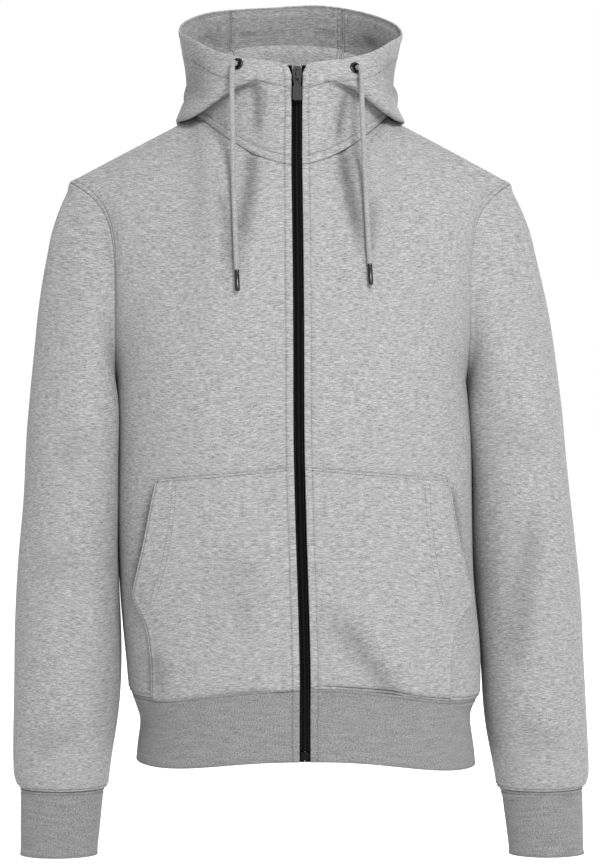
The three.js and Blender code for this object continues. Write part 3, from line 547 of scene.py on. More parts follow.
def stroke_relief(at, strokes):
    """Folds drawn one by one: each stroke is a path, a width, a height and how much one side leads the other."""
    total = np.zeros(at.shape[:-1])
    for path, width, height, lead in strokes:
        line = curve_at(np.array(path, float), np.linspace(0, len(path) - 1, 6 * len(path)))
        nearest = np.full(total.shape, 1e9)
        along = np.zeros(total.shape)
        signed = np.zeros(total.shape)
        for i in range(len(line) - 1):
            leg = line[i + 1] - line[i]
            offset = at - line[i]
            share = np.clip(offset @ leg / (leg @ leg), 0, 1)
            away = offset - share[..., None] * leg
            gap = np.linalg.norm(away, axis=-1)
            closer = gap < nearest
            nearest = np.where(closer, gap, nearest)
            along = np.where(closer, (i + share) / (len(line) - 1), along)
            turn = np.sign(offset[..., 0] * leg[1] - offset[..., 1] * leg[0])
            signed = np.where(closer, turn, signed)
        q = nearest / width
        fade = smooth(np.minimum(along, 1 - along) * 3.2)
        total += height * fade * np.exp(-q * q) * (1 - abs(lead) + 1.6 * lead * signed * q)
    return total


def seam_relief(distance, stitches):
    """A seam seen across: the groove at the edge, the thicker allowance and a dent under each stitch line."""
    relief = -0.8 * np.exp(-((distance / 1.2) ** 2)) + 0.6 * smooth((9 - distance) / 3)
    for place in stitches:
        relief = relief - 1.1 * np.exp(-(((distance - place) / 1.0) ** 2))
    return relief


class Cloth:
    """A sewn piece: a fine grid over a surface, with its edges, folds and stitch lines."""

    def __init__(self, name, surface, us, vs, *, closed=False, flip=False, thick=CLOTH, edges=None,
                 strokes=(), lift=None, rounds=RELAX_ROUNDS, step=STEP, level=True):
        self.name, self.closed, self.flip, self.thick, self.level = name, closed, flip, thick, level
        edges = edges or {}
        u, v = np.meshgrid(us, vs)
        points = surface(u, v)
        if lift is not None:
            points = points + grid_normals(points, closed, flip) * lift(u, v)[..., None]
        points = relax(points, rounds, closed)
        rows = spread(distances(points, 0).mean(axis=1), "v0" in edges, "v1" in edges, step)
        places = spread(distances(points, 1).mean(axis=0), "u0" in edges, "u1" in edges, step)
        self.u = np.interp(places, np.arange(len(us)), us)
        self.v = np.interp(rows, np.arange(len(vs)), vs)
        points = curve_at(points, rows)
        if closed:
            looped = np.concatenate([points, points[:, :1]], axis=1)
            count = round(distances(looped, 1)[:, -1].mean() / step)
            around = np.linspace(0, len(us), count, endpoint=False)
            wrapped = np.concatenate([points[:, -2:], points, points[:, :3]], axis=1)
            points = np.swapaxes(curve_at(np.swapaxes(wrapped, 0, 1), around + 2), 0, 1)
            self.u = around / len(us) * (us[-1] + us[1] - 2 * us[0]) + us[0]
        else:
            points = np.swapaxes(curve_at(np.swapaxes(points, 0, 1), places), 0, 1)
        self.from_u0, self.from_v0 = distances(points, 1), distances(points, 0)
        self.across = {
            "u0": self.from_u0, "u1": self.from_u0[:, -1:] - self.from_u0,
            "v0": self.from_v0, "v1": self.from_v0[-1:] - self.from_v0,
        }
        normals = grid_normals(points, closed, flip)
        relief = unevenness(points)
        shaped = np.zeros(relief.shape)
        for edge, stitches in edges.items():
            relief = relief * smooth(self.across[edge] / 12)
            shaped = shaped + seam_relief(self.across[edge], stitches)
        if strokes:
            shaped = shaped + stroke_relief(points[..., [0, 2]], strokes)
        # The hollow mask: painted shade, a darker colour where folds and seam grooves sink in.
        self.hollow = np.clip(-shaped / HOLLOW_DEPTH, 0, 1)
        self.points = points + normals * (relief + shaped)[..., None]
        self.normals = grid_normals(self.points, closed, flip)

    def build(self, material, slot, nodes):
        """Makes the piece. Its courses lie level where it hangs, and follow the edges elsewhere."""
        rows, columns = self.points.shape[:2]
        across = np.broadcast_to(self.from_u0.mean(axis=0) + 37 * len(self.name), (rows, columns))
        down = -self.points[..., 2] if self.level else self.from_v0
        uvs = np.stack([across, down], axis=-1).reshape(-1, 2)
        faces = grid_faces(rows, columns, self.closed, self.flip)
        piece = mesh_object(self.name, self.points.reshape(-1, 3), faces, material, uvs)
        # The hollow attribute carries the painted shade of folds and seams to the knit's colour.
        hollow = piece.data.attributes.new("hollow", "FLOAT", "POINT")
        hollow.data.foreach_set("value", self.hollow.ravel())
        solid = piece.modifiers.new("thickness", "SOLIDIFY")
        solid.thickness = self.thick * MM
        solid.offset = -1
        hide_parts(*nodes)
        return piece

    def line(self, edge, distance, span=(0, 1), inside=False):
        """The points and normals of a line at a distance from an edge, over a span of its length."""
        across = self.across[edge]
        along_rows = edge in ("u0", "u1")
        path, facing = [], []
        for k in range(across.shape[0] if along_rows else across.shape[1]):
            gaps = across[k] if along_rows else across[:, k]
            points = self.points[k] if along_rows else self.points[:, k]
            normals = self.normals[k] if along_rows else self.normals[:, k]
            order = slice(None) if gaps[0] < gaps[-1] else slice(None, None, -1)
            pick = lambda values: [np.interp(distance, gaps[order], values[order, i]) for i in range(3)]
            path.append(pick(points))
            facing.append(pick(normals))
        if self.closed and not along_rows:
            path.append(path[0])
            facing.append(facing[0])
        path, facing = np.array(path), np.array(facing)
        if inside:
            path, facing = path - facing * self.thick, -facing
        first, last = int(span[0] * (len(path) - 1)), int(span[1] * (len(path) - 1))
        return path[first:last + 1], facing[first:last + 1]


def traced(cloth, path, steps=60):
    """A line on a piece along a path given as x and z, with its normals."""
    line = curve_at(np.array(path, float), np.linspace(0, len(path) - 1, steps))
    points, normals = cloth.points.reshape(-1, 3), cloth.normals.reshape(-1, 3)
    nearest = np.array([np.argmin((points[:, 0] - x) ** 2 + (points[:, 2] - z) ** 2) for x, z in line])
    base, facing = points[nearest], normals[nearest]
    offset = line - base[:, [0, 2]]
    y = base[:, 1] - (facing[:, 0] * offset[:, 0] + facing[:, 2] * offset[:, 1]) / facing[:, 1]
    return np.stack([line[:, 0], y, line[:, 1]], axis=-1), facing


def stitches(name, lines, material, slot, pitch=3.2, length=2.6, width=0.7, height=0.3):
    """Rows of single stitches, each a small bead of thread lying on the cloth."""
    verts, faces = [], []
    for path, facing in lines:
        run = np.concatenate([[0], np.cumsum(np.linalg.norm(np.diff(path, axis=0), axis=1))])
        starts = np.arange(pitch / 2, run[-1] - length, pitch)
        sample = lambda values, at: np.stack([np.interp(at, run, values[:, i]) for i in range(3)], axis=-1)
        for start in starts:
            ends = sample(path, np.array([start, start + length]))
            out = sample(facing, np.array([start + length / 2]))[0]
            along = ends[1] - ends[0]
            across = np.cross(along, out)
            across /= np.linalg.norm(across)
            first = len(verts)
            verts.append(ends[0] - out * 0.3)
            for share in (0.22, 0.78):
                middle = ends[0] + along * share
                verts += [
                    middle - across * width / 2 - out * 0.1, middle + out * height,
                    middle + across * width / 2 - out * 0.1, middle - out * 0.3,
                ]
            verts.append(ends[1] - out * 0.3)
            for k in range(4):
                n = (k + 1) % 4
                faces.append((first, first + 1 + n, first + 1 + k))
                faces.append((first + 1 + k, first + 1 + n, first + 5 + n, first + 5 + k))
                faces.append((first + 9, first + 5 + k, first + 5 + n))
    return mesh_object(name, verts, faces, material)


def lathe(name, profile, centre, axis, material, segments=40):
    """A turned part: profile is radius and height along the axis, closed on itself or on the axis."""
    axis = np.asarray(axis, float) / np.linalg.norm(axis)
    side = np.cross(axis, [0, 0, 1] if abs(axis[2]) < 0.9 else [1, 0, 0])
    side /= np.linalg.norm(side)
    other = np.cross(axis, side)
    turns = np.linspace(0, 2 * np.pi, segments, endpoint=False)
    rings = [
        centre + axis * h + r * (np.cos(turns)[:, None] * side + np.sin(turns)[:, None] * other)
        for r, h in profile
    ]
    faces = grid_faces(len(profile), segments, closed=True)
    piece = mesh_object(name, np.concatenate(rings), faces, material)
    shape = bmesh.new()
    shape.from_mesh(piece.data)
    bmesh.ops.remove_doubles(shape, verts=shape.verts, dist=1e-6)
    bmesh.ops.recalc_face_normals(shape, faces=shape.faces)
    shape.to_mesh(piece.data)
    shape.free()
    return piece


# Materials


def new_material(name):
    material = bpy.data.materials.new(name)
    material.use_nodes = True
    nodes, links = material.node_tree.nodes, material.node_tree.links
    shader = nodes["Principled BSDF"]
    MATERIALS[name] = material
    return nodes, links, shader


def scaled(nodes, links, source, scale):
    mapping = nodes.new("ShaderNodeMapping")
    mapping.inputs["Scale"].default_value = scale
    links.new(source, mapping.inputs["Vector"])
    return mapping.outputs["Vector"]


def noise(nodes, links, vector, detail=2.0, roughness=0.5):
    texture = nodes.new("ShaderNodeTexNoise")
    texture.inputs["Scale"].default_value = 1
    texture.inputs["Detail"].default_value = detail
    texture.inputs["Roughness"].default_value = roughness
    links.new(vector, texture.inputs["Vector"])
    return texture.outputs["Fac"]


def weighted(nodes, links, terms):
    """A sum of values, each times its weight."""
    total = None
    for value, weight in terms:
        node = nodes.new("ShaderNodeMath")
        node.operation = "MULTIPLY_ADD"
        links.new(value, node.inputs[0])
        node.inputs[1].default_value = weight
        if total is None:
            node.inputs[2].default_value = 0
        else:
            links.new(total, node.inputs[2])
        total = node.outputs[0]
    return total


def ramp(nodes, links, value, stops):
    node = nodes.new("ShaderNodeValToRGB")
    elements = node.color_ramp.elements
    while len(elements) < len(stops):
        elements.new(0.5)
    for element, (place, shade) in zip(elements, stops):
        element.position = place
        element.color = (*shade, 1) if isinstance(shade, tuple) else (shade, shade, shade * 1.01, 1)
    links.new(value, node.inputs["Fac"])
    return node.outputs["Color"]


def bump(nodes, links, shader, height, distance, strength=1.0):
    node = nodes.new("ShaderNodeBump")
    node.inputs["Strength"].default_value = strength
    node.inputs["Distance"].default_value = distance
    links.new(height, node.inputs["Height"])
    links.new(node.outputs["Normal"], shader.inputs["Normal"])


def wave(nodes, links, vector, direction):
    texture = nodes.new("ShaderNodeTexWave")
    texture.bands_direction = direction
    texture.inputs["Scale"].default_value = 1
    texture.inputs["Distortion"].default_value = 1.2
    texture.inputs["Detail"].default_value = 1
    links.new(vector, texture.inputs["Vector"])
    return texture.outputs["Fac"]


def knit(name, shades, streak, rib_pitch, rib_depth):
    """Heather knit: slanting streaks along the courses, a finer fleck, and the columns of the stitches, with painted
    shade from the hollow attribute darkening folds and seams.
    """
    nodes, links, shader = new_material(name)
    uv = nodes.new("ShaderNodeUVMap")
    uv.uv_map = "cloth"
    place = uv.outputs["UV"]
    drift = noise(nodes, links, scaled(nodes, links, place, (9, 7, 1)), 1.0, 0.4)
    shift = nodes.new("ShaderNodeVectorMath")
    shift.operation = "MULTIPLY_ADD"
    links.new(drift, shift.inputs[0])
    shift.inputs[1].default_value = (0, STREAK_DRIFT, 0)
    links.new(place, shift.inputs[2])
    slanted = shift.outputs["Vector"]
    streaks = noise(nodes, links, scaled(nodes, links, slanted, (*streak, 1)), 4.0, 0.65)
    fleck = noise(nodes, links, scaled(nodes, links, slanted, (700, 1500, 1)), 2.0, 0.6)
    patches = noise(nodes, links, scaled(nodes, links, slanted, (45, 260, 1)), 3.0, 0.6)
    tone = weighted(nodes, links, [(streaks, 0.5), (fleck, 0.3), (patches, 0.14)])
    dark, middle, light = shades
    colour = ramp(nodes, links, tone, [(0.38, dark), (0.47, middle), (0.56, light)])
    # Painted shade: the colour is darkened in folds and seam grooves by the hollow attribute.
    hollow = nodes.new("ShaderNodeAttribute")
    hollow.attribute_name = "hollow"
    shaded = nodes.new("ShaderNodeMix")
    shaded.data_type = "RGBA"
    shaded.blend_type = "MULTIPLY"
    links.new(hollow.outputs["Fac"], shaded.inputs[0])
    links.new(colour, shaded.inputs[6])
    shaded.inputs[7].default_value = (PAINTED_HOLLOW_SHADE, PAINTED_HOLLOW_SHADE, PAINTED_HOLLOW_SHADE, 1)
    links.new(shaded.outputs[2], shader.inputs["Base Color"])
    shader.inputs["Roughness"].default_value = 0.92
    shader.inputs["Specular IOR Level"].default_value = 0.2
    shader.inputs["Sheen Weight"].default_value = 0.1
    shader.inputs["Sheen Roughness"].default_value = 0.6
    columns = wave(nodes, links, scaled(nodes, links, place, (0.31 / rib_pitch, 6, 1)), "X")
    height = weighted(nodes, links, [(columns, rib_depth), (fleck, 0.5), (streaks, 0.35)])
    bump(nodes, links, shader, height, 0.0004, 0.8)


def thread(name, shade):
    nodes, links, shader = new_material(name)
    place = nodes.new("ShaderNodeTexCoord").outputs["Object"]
    fleck = noise(nodes, links, scaled(nodes, links, place, (900, 900, 900)), 2.0)
    colour = ramp(nodes, links, fleck, [(0.35, shade * 0.72), (0.65, shade * 1.15)])
    links.new(colour, shader.inputs["Base Color"])
    shader.inputs["Roughness"].default_value = 0.8
    bump(nodes, links, shader, fleck, 0.0002, 0.6)


def plain(name, shade, roughness, metallic=0.0, specular=0.5, grain=(1200, 1200, 1200), depth=0.0001):
    nodes, links, shader = new_material(name)
    place = nodes.new("ShaderNodeTexCoord").outputs["Object"]
    fine = noise(nodes, links, scaled(nodes, links, place, grain), 3.0)
    colour = ramp(nodes, links, fine, [(0.3, shade * 0.8), (0.7, shade * 1.2)])
    links.new(colour, shader.inputs["Base Color"])
    rough = nodes.new("ShaderNodeMapRange")
    rough.inputs["To Min"].default_value = roughness * 0.85
    rough.inputs["To Max"].default_value = roughness * 1.15
    links.new(fine, rough.inputs["Value"])
    links.new(rough.outputs["Result"], shader.inputs["Roughness"])
    shader.inputs["Metallic"].default_value = metallic
    shader.inputs["Specular IOR Level"].default_value = specular
    bump(nodes, links, shader, fine, depth, 0.5)


FLEECE_SHADES = (0.095, 0.185, 0.28)
RIB_SHADES = (0.065, 0.13, 0.2)
PAINTED_HOLLOW_SHADE = 0.45  # how dark the painted shade makes the colour at the bottom of a deep fold or seam
STREAK_DRIFT = 0.035  # metres a course wanders up and down
knit("fleece", FLEECE_SHADES, (150, 1000), 0.0013, 0.3)
knit("rib", RIB_SHADES, (500, 900), 0.0018, 0.8)
knit("cord", (0.1, 0.17, 0.25), (500, 900), 0.002, 0.2)
# The thread is a darker grey than the fleece, and darker still as painted shade of the dents the stitches sit in.
thread("thread", 0.075)
thread("zip_thread", 0.03)
plain("zip_tape", 0.002, 0.95, specular=0.03, grain=(900, 900, 2600), depth=0.0003)
plain("zip_coil", 0.002, 0.7, specular=0.08)
plain("metal", 0.03, 0.28, metallic=0.95)
# Near-black, for the painted shade in the eyelets' holes.
plain("dark", 0.004, 0.9, specular=0.1)

# Drawstring

CORD_DIAMETER = 5.5
CORD_ROUTES = {  # metres, from the eyelet down the chest to the aglet
    "left": [
        (-0.0627, -0.0939, 0.0471), (-0.0642, -0.0971, 0.048), (-0.0652, -0.0998, 0.0473),
        (-0.0659, -0.1015, 0.0443), (-0.0663, -0.1026, 0.0394), (-0.0665, -0.1035, 0.03),
        (-0.0664, -0.1055, 0.005), (-0.0658, -0.1084, -0.035), (-0.0652, -0.1125, -0.07),
        (-0.0644, -0.1192, -0.105), (-0.0634, -0.1262, -0.14), (-0.0624, -0.1315, -0.169),
    ],
    "right": [
        (0.0648, -0.0942, 0.0436), (0.0665, -0.0974, 0.0439), (0.0676, -0.1, 0.0431),
        (0.0682, -0.1017, 0.0401), (0.0685, -0.1027, 0.035), (0.0687, -0.1037, 0.026),
        (0.0689, -0.1055, 0.0), (0.0704, -0.1084, -0.04), (0.0718, -0.1124, -0.075),
        (0.073, -0.119, -0.11), (0.0742, -0.125, -0.14), (0.0752, -0.1288, -0.162),
    ],
}
CORD_SIDES = 32
BRAID = {"strands": 4, "pitch": 9.0, "depth": 0.22}
AGLET_RADIUS, AGLET_LENGTH = 2.5, 22


def cord_frames(path):
    """The directions along and across a path, turning as little as it can."""
    along = np.gradient(path, axis=0)
    along /= np.linalg.norm(along, axis=1, keepdims=True)
    side = np.cross(along[0], [0, 0, 1.0])
    sides = []
    for direction in along:
        side = side - direction * (side @ direction)
        side = side / np.linalg.norm(side)
        sides.append(side)
    sides = np.array(sides)
    return along, sides, np.cross(along, sides)


def add_cord(word):
    route = np.array(CORD_ROUTES[word]) / MM
    coarse = curve_at(route, np.linspace(0, len(route) - 1, 200))
    run = np.concatenate([[0], np.cumsum(np.linalg.norm(np.diff(coarse, axis=0), axis=1))])
    steps = np.arange(0, run[-1], 0.55)
    path = np.stack([np.interp(steps, run, coarse[:, i]) for i in range(3)], axis=-1)
    along, side, other = cord_frames(path)
    turn = np.linspace(0, 2 * np.pi, CORD_SIDES, endpoint=False)[None, :]
    twist = (2 * np.pi * steps / BRAID["pitch"])[:, None]
    strands = np.abs(np.cos(BRAID["strands"] * turn + twist) * np.cos(BRAID["strands"] * turn - twist))
    radius = CORD_DIAMETER / 2 - BRAID["depth"] * (1 - np.sqrt(strands))
    rings = path[:, None] + radius[..., None] * (
        np.cos(turn)[..., None] * side[:, None] + np.sin(turn)[..., None] * other[:, None]
    )
    verts = np.concatenate([rings.reshape(-1, 3), path[:1], path[-1:]])
    count = len(path)
    faces = grid_faces(count, CORD_SIDES, closed=True)
    for i in range(CORD_SIDES):
        n = (i + 1) % CORD_SIDES
        faces.append((count * CORD_SIDES, n, i))
        faces.append((count * CORD_SIDES + 1, (count - 1) * CORD_SIDES + i, (count - 1) * CORD_SIDES + n))
    around = np.broadcast_to(turn * CORD_DIAMETER / 2, radius.shape)
    uvs = np.stack([around, np.broadcast_to(steps[:, None], radius.shape)], axis=-1).reshape(-1, 2)
    uvs = np.concatenate([uvs, uvs[:1], uvs[-1:]])
    cord = mesh_object(f"cord_{word}", verts, faces, "cord", uvs)
    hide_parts(f"cord_{word}")

    end, direction = path[-1] + along[-1] * SEAM_GAP, along[-1]
    r, length = AGLET_RADIUS, AGLET_LENGTH
    profile = [(0, 0), (r - 0.4, 0), (r - 0.1, 0.3), (r, 0.8), (r, 3), (r - 0.25, 3.4), (r - 0.25, 4.2), (r, 4.6)]
    profile += [(r, length - 2.4), (r - 0.15, length - 1.2), (r - 0.6, length - 0.4), (r - 1.2, length), (0, length)]
    aglet = lathe(f"aglet_{word}", profile, end, direction, "metal")
    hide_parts(f"aglet_{word}")


for word in ("left", "right"):
    add_cord(word)

# Folds: the paths are in millimetres, on the fronts as x and z

FRONT_FOLDS = {
    "left": [
        ([(-42, 0), (-43, -36), (-46, -76), (-54, -122), (-58, -170)], 8, -3.8, 0.2),
        ([(-78, -70), (-74, -110), (-70, -150), (-65, -182)], 7, -1.8, 0),
        ([(-150, -160), (-140, -215), (-150, -275)], 26, 2.6, 0.3),
        ([(-95, -250), (-112, -330), (-104, -400)], 30, 2.2, -0.3),
        ([(-70, -440), (-52, -500), (-60, -560)], 28, -0.9, 0.3),
        ([(-150, -560), (-140, -590), (-146, -618)], 13, -2.4, 0.4),
    ],
    "right": [
        ([(48, 4), (48, -30), (52, -72), (60, -115), (65, -160)], 8, -4.4, -0.2),
        ([(82, -80), (79, -120), (76, -165)], 7, -1.6, 0),
        ([(165, -150), (150, -215), (168, -290)], 26, 2.6, -0.3),
        ([(95, -190), (80, -260), (110, -350)], 32, 2.2, 0.3),
        ([(38, -498), (50, -535), (68, -557), (102, -604), (112, -620)], 14, -2.4, 0.3),
        ([(130, -560), (136, -590), (128, -618)], 13, 2.0, 0),
    ],
}
BACK_FOLDS = [
    ([(-150, -150), (-120, -215), (-60, -260)], 22, 2.4, 0.3),
    ([(140, -160), (110, -230), (50, -285)], 24, 2.2, -0.3),
    ([(-135, -465), (-60, -515), (30, -525)], 22, -1.6, 0.2),
    ([(155, -500), (80, -558), (0, -572)], 18, 2.6, 0.3),
    ([(-160, -560), (-118, -590), (-70, -604)], 15, -1.6, -0.2),
]
SLEEVE_FOLDS = {
    "left": [
        ([(-262, -235), (-263, -300), (-259, -360), (-256, -430)], 17, 2.0, 0.4),
        ([(-206, -330), (-232, -362), (-256, -372)], 16, -1.0, 0.3),
        ([(-216, -460), (-248, -482), (-286, -478)], 19, -0.9, 0.2),
        ([(-214, -642), (-248, -668), (-290, -670)], 15, -1.2, 0.3),
    ],
    "right": [
        ([(249, -395), (244, -470), (233, -550), (229, -606)], 17, -2.0, -0.4),
        ([(212, -318), (240, -352), (268, -360)], 16, -0.9, -0.3),
        ([(232, -640), (268, -672), (304, -668)], 15, -1.2, -0.3),
    ],
}
POCKET_TROUGHS = {  # the front sinks beside a pocket's opening
    "left": [([(-148, -384), (-153, -433), (-162, -477), (-171, -514)], 7, -4.5, 0)],
    "right": [([(163, -384), (166, -418), (171, -455), (180, -488), (188, -514)], 7, -4.5, 0)],
}
POCKET_STITCHES = {  # the two rows beside the opening run on to the side below it
    "left": [
        [(-129, -389), (-131, -418), (-135, -447), (-143, -483), (-153, -515)],
        [(-125, -389), (-127, -418), (-131, -448), (-139, -486), (-150, -522)],
    ],
    "right": [
        [(139, -389), (142, -431), (149, -479), (160, -519)],
        [(134, -389), (137, -432), (144, -482), (156, -524)],
    ],
}
HOOD_FOLDS = {
    "left": [
        ([(-50, 32), (-40, 14), (-39, -8), (-43, -36)], 5.5, -3.4, 0.2),
        ([(-96, 96), (-84, 90), (-66, 84)], 7, 4.5, 0.2),
        ([(-92, 70), (-100, 30), (-108, 8)], 16, -2.4, 0.3),
    ],
    "right": [
        ([(58, 30), (51, 6), (47, -18), (45, -42)], 5.5, -3.6, -0.2),
        ([(96, 98), (82, 86), (66, 92)], 8, 4.5, -0.2),
        ([(96, 70), (104, 34), (108, 10)], 16, -2.4, -0.3),
    ],
}


SIDES = (("left", -1), ("right", 1))
HALF_SEAM = 0.0012
PANEL_US = np.linspace(0, 1 - HALF_SEAM, 72)
PANEL_VS = np.linspace(-1, 1, 150)
FRONTS, SLEEVES, CUFFS, HOODS, POCKETS = {}, {}, {}, {}, {}

for word, side in SIDES:
    FRONTS[word] = Cloth(
        f"front_{word}", lambda u, v, side=side: mirror(body_point(u, v, side, True), side), PANEL_US, PANEL_VS,
        flip=side < 0, edges={"u0": [7.5], "u1": [5], "v0": [4], "v1": []},
        strokes=FRONT_FOLDS[word] + POCKET_TROUGHS[word],
    )


def back_surface(u, v):
    left = mirror(body_point(np.abs(u), v, -1, False), -1)
    right = body_point(np.abs(u), v, 1, False)
    points = np.where((u < 0)[..., None], left, right)
    points[..., 1] += SEAM_GAP * smooth(v)
    return points


BACK = Cloth(
    "back", back_surface, np.linspace(HALF_SEAM - 1, 1 - HALF_SEAM, 145), PANEL_VS, flip=True,
    edges={"u0": [], "u1": [], "v0": [4], "v1": [5]}, strokes=BACK_FOLDS,
)


def rib_surface(u, v):
    ring = row_at(RIB_RINGS, last_row(RIB_RINGS) * v)
    halves = []
    for side in (-1, 1):
        start = ring_angle(ring, side * zip_x(ring["z"]) + ZIP_GAP, side)
        halves.append(mirror(ring_point(ring, mix(180, start, np.abs(u)), side), side))
    return np.where((u < 0)[..., None], halves[0], halves[1])


RIB = Cloth(
    "hem_rib", rib_surface, np.linspace(-1, 1, 240), np.linspace(0, 1, 30), thick=RIB_CLOTH,
    edges={"u0": [7.5], "u1": [7.5], "v0": [3.5]},
)

for word, side in SIDES:
    SLEEVES[word] = Cloth(
        f"sleeve_{word}", lambda u, v, side=side: mirror(sleeve_point(u, v, side), side),
        np.linspace(0, 360, 96, endpoint=False), np.linspace(0, 2, 150), closed=True, flip=side > 0,
        edges={"v0": [], "v1": [4]}, strokes=SLEEVE_FOLDS[word],
    )
    CUFFS[word] = Cloth(
        f"cuff_{word}",
        lambda u, v, side=side: mirror(sleeve_ring(row_at(CUFF_RINGS, last_row(CUFF_RINGS) * v), u, side), side),
        np.linspace(0, 360, 72, endpoint=False), np.linspace(0, 1, 30), closed=True, flip=side > 0,
        thick=RIB_CLOTH, edges={"v0": [3.5]},
    )
    HOODS[word] = Cloth(
        f"hood_{word}", lambda u, v, side=side: hood_side_point(u, v, side), np.linspace(0, 1, 110),
        np.linspace(0, 1, 140), flip=side < 0, rounds=30,
        edges={"u0": [7.5], "u1": [4], "v0": [9], "v1": [26]}, strokes=HOOD_FOLDS[word],
    )
    POCKETS[word] = Cloth(
        f"pocket_{word}", lambda u, v, side=side: pocket_point(u, v, side), np.linspace(0, 1, 60),
        np.linspace(0, 1.065, 80), flip=side > 0, thick=POCKET["cloth"], lift=pocket_stand_off, rounds=6,
        edges={"u0": [7.5], "u1": [2.5], "v0": [2.5]}, strokes=FRONT_FOLDS[word],
    )
HOOD_CENTRE = Cloth(
    "hood_centre", hood_centre_point, np.linspace(-1, 1, 40), np.linspace(0, 1, 140), flip=True, rounds=30,
    edges={"u0": [4], "u1": [4], "v0": [], "v1": [26]},
)

for cloth in [*FRONTS.values(), BACK, *SLEEVES.values(), *HOODS.values(), HOOD_CENTRE, *POCKETS.values()]:
    cloth.build("fleece", "fleece", [cloth.name])
for cloth in [RIB, *CUFFS.values()]:
    cloth.build("rib", "rib", [cloth.name])

# Topstitching

lines = []
for word, side in SIDES:
    front, hood, pocket = FRONTS[word], HOODS[word], POCKETS[word]
    lines += [front.line("u0", 7.5), front.line("v0", 4), front.line("u1", 5, (0.52, 1))]
    lines += [hood.line("u0", 7.5), hood.line("u1", 4), hood.line("v0", 9), hood.line("v1", 26)]
    lines += [pocket.line("v0", 2.5), pocket.line("u1", 2.5), pocket.line("u0", 7.5)]
    lines += [traced(pocket, path) for path in POCKET_STITCHES[word]]
    lines += [SLEEVES[word].line("v1", 4), CUFFS[word].line("v0", 3.5)]
lines += [BACK.line("v0", 4), BACK.line("v1", 5), RIB.line("v0", 3.5), RIB.line("u0", 7.5), RIB.line("u1", 7.5)]
lines += [HOOD_CENTRE.line("u0", 4), HOOD_CENTRE.line("u1", 4), HOOD_CENTRE.line("v1", 26)]
lines += [cloth.line("v1", 26, inside=True) for cloth in (*HOODS.values(), HOOD_CENTRE)]
lines += [HOOD_CENTRE.line("u0", 0.6, inside=True), HOOD_CENTRE.line("u1", 0.6, inside=True)]
middle = HOOD_CENTRE.points.shape[1] // 2
casing = HOOD_CENTRE.across["v1"][:, middle] < 26
facing = HOOD_CENTRE.normals[casing, middle]
lines.append((HOOD_CENTRE.points[casing, middle] - facing * CLOTH, -facing))
stitches("topstitching", lines, "thread", "fleece")

# Zip

CHAIN_TOP, CHAIN_BOTTOM = 25, -667
TAPE_HALF, TAPE_THICK, TAPE_FLARE = 13, 0.8, 5
TOOTH = {"pitch": 1.5, "reach": 3.0, "wide": 1.0, "high": 2.2}


def centre_front():
    ring = row_at(RIB_RINGS, last_row(RIB_RINGS) * np.array([1, 0.66, 0.33, 0]))
    rib = ring_point(ring, np.zeros(4), 1)
    rows = np.linspace(-0.94, 1, 60)
    body = body_point(np.zeros(60), rows, 1, True)
    rises = np.array([0.06, 0.15, 0.3, 0.5, 0.7, 0.85, 1])
    hood = hood_point(np.full(7, 3.0), rises)
    points = np.concatenate([rib, body, hood])
    points[:, 0] = 0
    return relax(np.repeat(points[:, None], 3, axis=1), 2, False)[:, 0]


FRONT_LINE = centre_front()
FRONT_SLOPE = np.gradient(FRONT_LINE, axis=0)
FRONT_SLOPE /= np.linalg.norm(FRONT_SLOPE, axis=1, keepdims=True)


def zip_point(across, z, depth):
    """A point beside the zip's middle at a height, a depth behind the face of the fronts."""
    across, z, depth = np.broadcast_arrays(across, z, depth)
    heights = np.maximum.accumulate(FRONT_LINE[:, 2])
    y = np.interp(z, heights, FRONT_LINE[:, 1])
    slope_y = np.interp(z, heights, FRONT_SLOPE[:, 1])
    slope_z = np.interp(z, heights, FRONT_SLOPE[:, 2])
    curve = 210 + 600 * smooth((-60 - z) / 150)
    return vec(zip_x(z) + across, y + slope_z * (depth + across * across / curve), z - slope_y * depth)


def add_tape(word, side):
    heights = np.linspace(FRONT_LINE[0, 2], FRONT_LINE[-1, 2], 260)
    spans = np.linspace(0, 1, 9)
    span, z = np.meshgrid(spans, heights)
    flare = TAPE_FLARE * smooth((z - 22) / 22)
    points = zip_point(side * (mix(0.2, TAPE_HALF, span) + flare), z, ZIP_DEPTH)
    faces = grid_faces(len(heights), len(spans), flip=side < 0)
    piece = mesh_object(f"zip_tape_{word}", points.reshape(-1, 3), faces, "zip_tape")
    solid = piece.modifiers.new("thickness", "SOLIDIFY")
    solid.thickness = TAPE_THICK * MM
    solid.offset = -1
    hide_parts(f"zip_tape_{word}")
    return piece


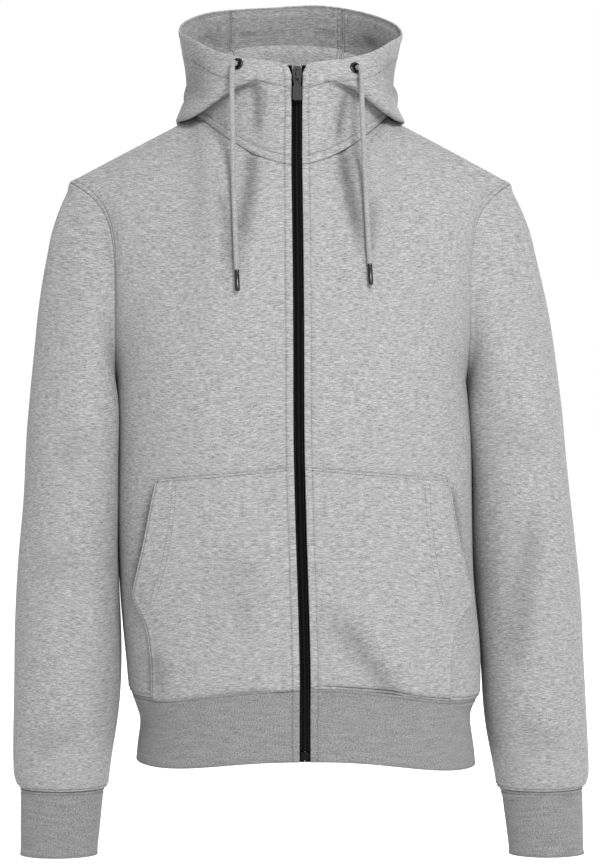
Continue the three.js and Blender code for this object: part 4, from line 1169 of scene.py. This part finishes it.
def add_chain():
    verts, faces = [], []
    depth = ZIP_DEPTH - SEAM_GAP
    for side in (-1, 1):
        start = CHAIN_BOTTOM + (TOOTH["pitch"] / 2 if side > 0 else 0)
        for z in np.arange(start, CHAIN_TOP, TOOTH["pitch"]):
            half = TOOTH["wide"] / 2
            first = len(verts)
            for dz in (-half, half):
                inner, outer = -side * 0.7, side * TOOTH["reach"]
                verts += [
                    zip_point(inner, z + dz * 0.7, depth - 0.5), zip_point(inner, z + dz * 0.6, depth - 1.9),
                    zip_point(side * 1.2, z + dz * 0.8, depth - TOOTH["high"]),
                    zip_point(outer, z + dz, depth - 1.2), zip_point(outer, z + dz, depth),
                ]
            order = [0, 1, 2, 3, 4] if side > 0 else [4, 3, 2, 1, 0]
            faces.append(tuple(first + k for k in order))
            faces.append(tuple(first + 5 + k for k in reversed(order)))
            for k in range(5):
                a, b = order[k], order[(k + 1) % 5]
                faces.append((first + b, first + a, first + 5 + a, first + 5 + b))
    chain = mesh_object("zip_teeth", verts, faces, "zip_coil", shade_smooth=False)
    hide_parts("zip_chain")
    lines = []
    for across in (-3.9, 3.9):
        z = np.linspace(CHAIN_BOTTOM, 24, 200)
        path = zip_point(across, z, ZIP_DEPTH)
        facing = path - zip_point(across, z, ZIP_DEPTH + 1)
        lines.append((path, facing))
    stitches("zip_stitching", lines, "zip_thread", "zip_tape", pitch=1.8, length=1.4, width=0.5)


for word, side in SIDES:
    add_tape(word, side)
add_chain()

for name in ("zip_slider", "zip_pull", "zip_box"):
    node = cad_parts[name]
    node.data.materials.clear()
    node.data.materials.append(MATERIALS["zip_coil" if name == "zip_box" else "metal"])
    edge = node.modifiers.new("rounded edges", "BEVEL")
    edge.width = 0.35 * MM
    edge.segments = 2
    edge.limit_method = "ANGLE"

# Eyelets, seated on the hood's cloth where the solids have them

EYELET_OUTER, EYELET_HOLE, EYELET_HEIGHT = 6.4, 3.4, 1.5

for word, side in SIDES:
    low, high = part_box(f"eyelet_{word}")
    centre = (np.array(low) + np.array(high)) / 2 / MM
    hood = HOODS[word]
    nearest = np.linalg.norm(hood.points - centre, axis=-1)
    at = np.unravel_index(nearest.argmin(), nearest.shape)
    seat, out = hood.points[at], hood.normals[at]
    ring = []
    for turn in np.linspace(0, np.pi, 9):
        across = (EYELET_OUTER + EYELET_HOLE) / 2 + (EYELET_OUTER - EYELET_HOLE) / 2 * math.cos(turn)
        ring.append((across, 0.1 + EYELET_HEIGHT * math.sin(turn) ** 0.8))
    ring.append(ring[0])
    eyelet = lathe(f"eyelet_{word}", ring, seat, out, "metal")
    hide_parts(f"eyelet_{word}")
    # Painted shade: a near-black disc fills each eyelet's hole, standing for the shade inside it.
    well = [(0, 0.3), (EYELET_HOLE + 0.2, 0.3), (EYELET_HOLE + 0.2, 0.05), (0, 0.05)]
    lathe(f"eyelet_hole_shade_{word}", well, seat, out, "dark", segments=24)

# Floor and light

bpy.ops.mesh.primitive_plane_add(size=40, location=(0, 0, -0.9))
floor = bpy.context.object
floor.name = "floor"
floor_material = bpy.data.materials.new("floor")
floor_material.use_nodes = True
floor_shader = floor_material.node_tree.nodes["Principled BSDF"]
floor_shader.inputs["Base Color"].default_value = (0.94, 0.94, 0.94, 1)
floor_shader.inputs["Roughness"].default_value = 1
floor_shader.inputs["Emission Color"].default_value = (1, 1, 1, 1)
floor_shader.inputs["Emission Strength"].default_value = 0.12
floor.data.materials.append(floor_material)

world = bpy.data.worlds.new("studio")
bpy.context.scene.world = world
world.use_nodes = True
world.node_tree.nodes["Background"].inputs["Color"].default_value = (1, 1, 1, 1)
world.node_tree.nodes["Background"].inputs["Strength"].default_value = 1.0


def area_light(name, place, target, size, power):
    data = bpy.data.lights.new(name, "AREA")
    data.size = size
    data.energy = power
    light = bpy.data.objects.new(name, data)
    light.location = place
    light.rotation_euler = (Vector(target) - Vector(place)).to_track_quat("-Z", "Y").to_euler()
    bpy.context.collection.objects.link(light)


area_light("key", (0.8, -3.3, 1.6), (0, 0, -0.35), 1.0, 205)
area_light("back", (0.6, 3.4, 1.5), (0, 0, -0.35), 1.6, 45)
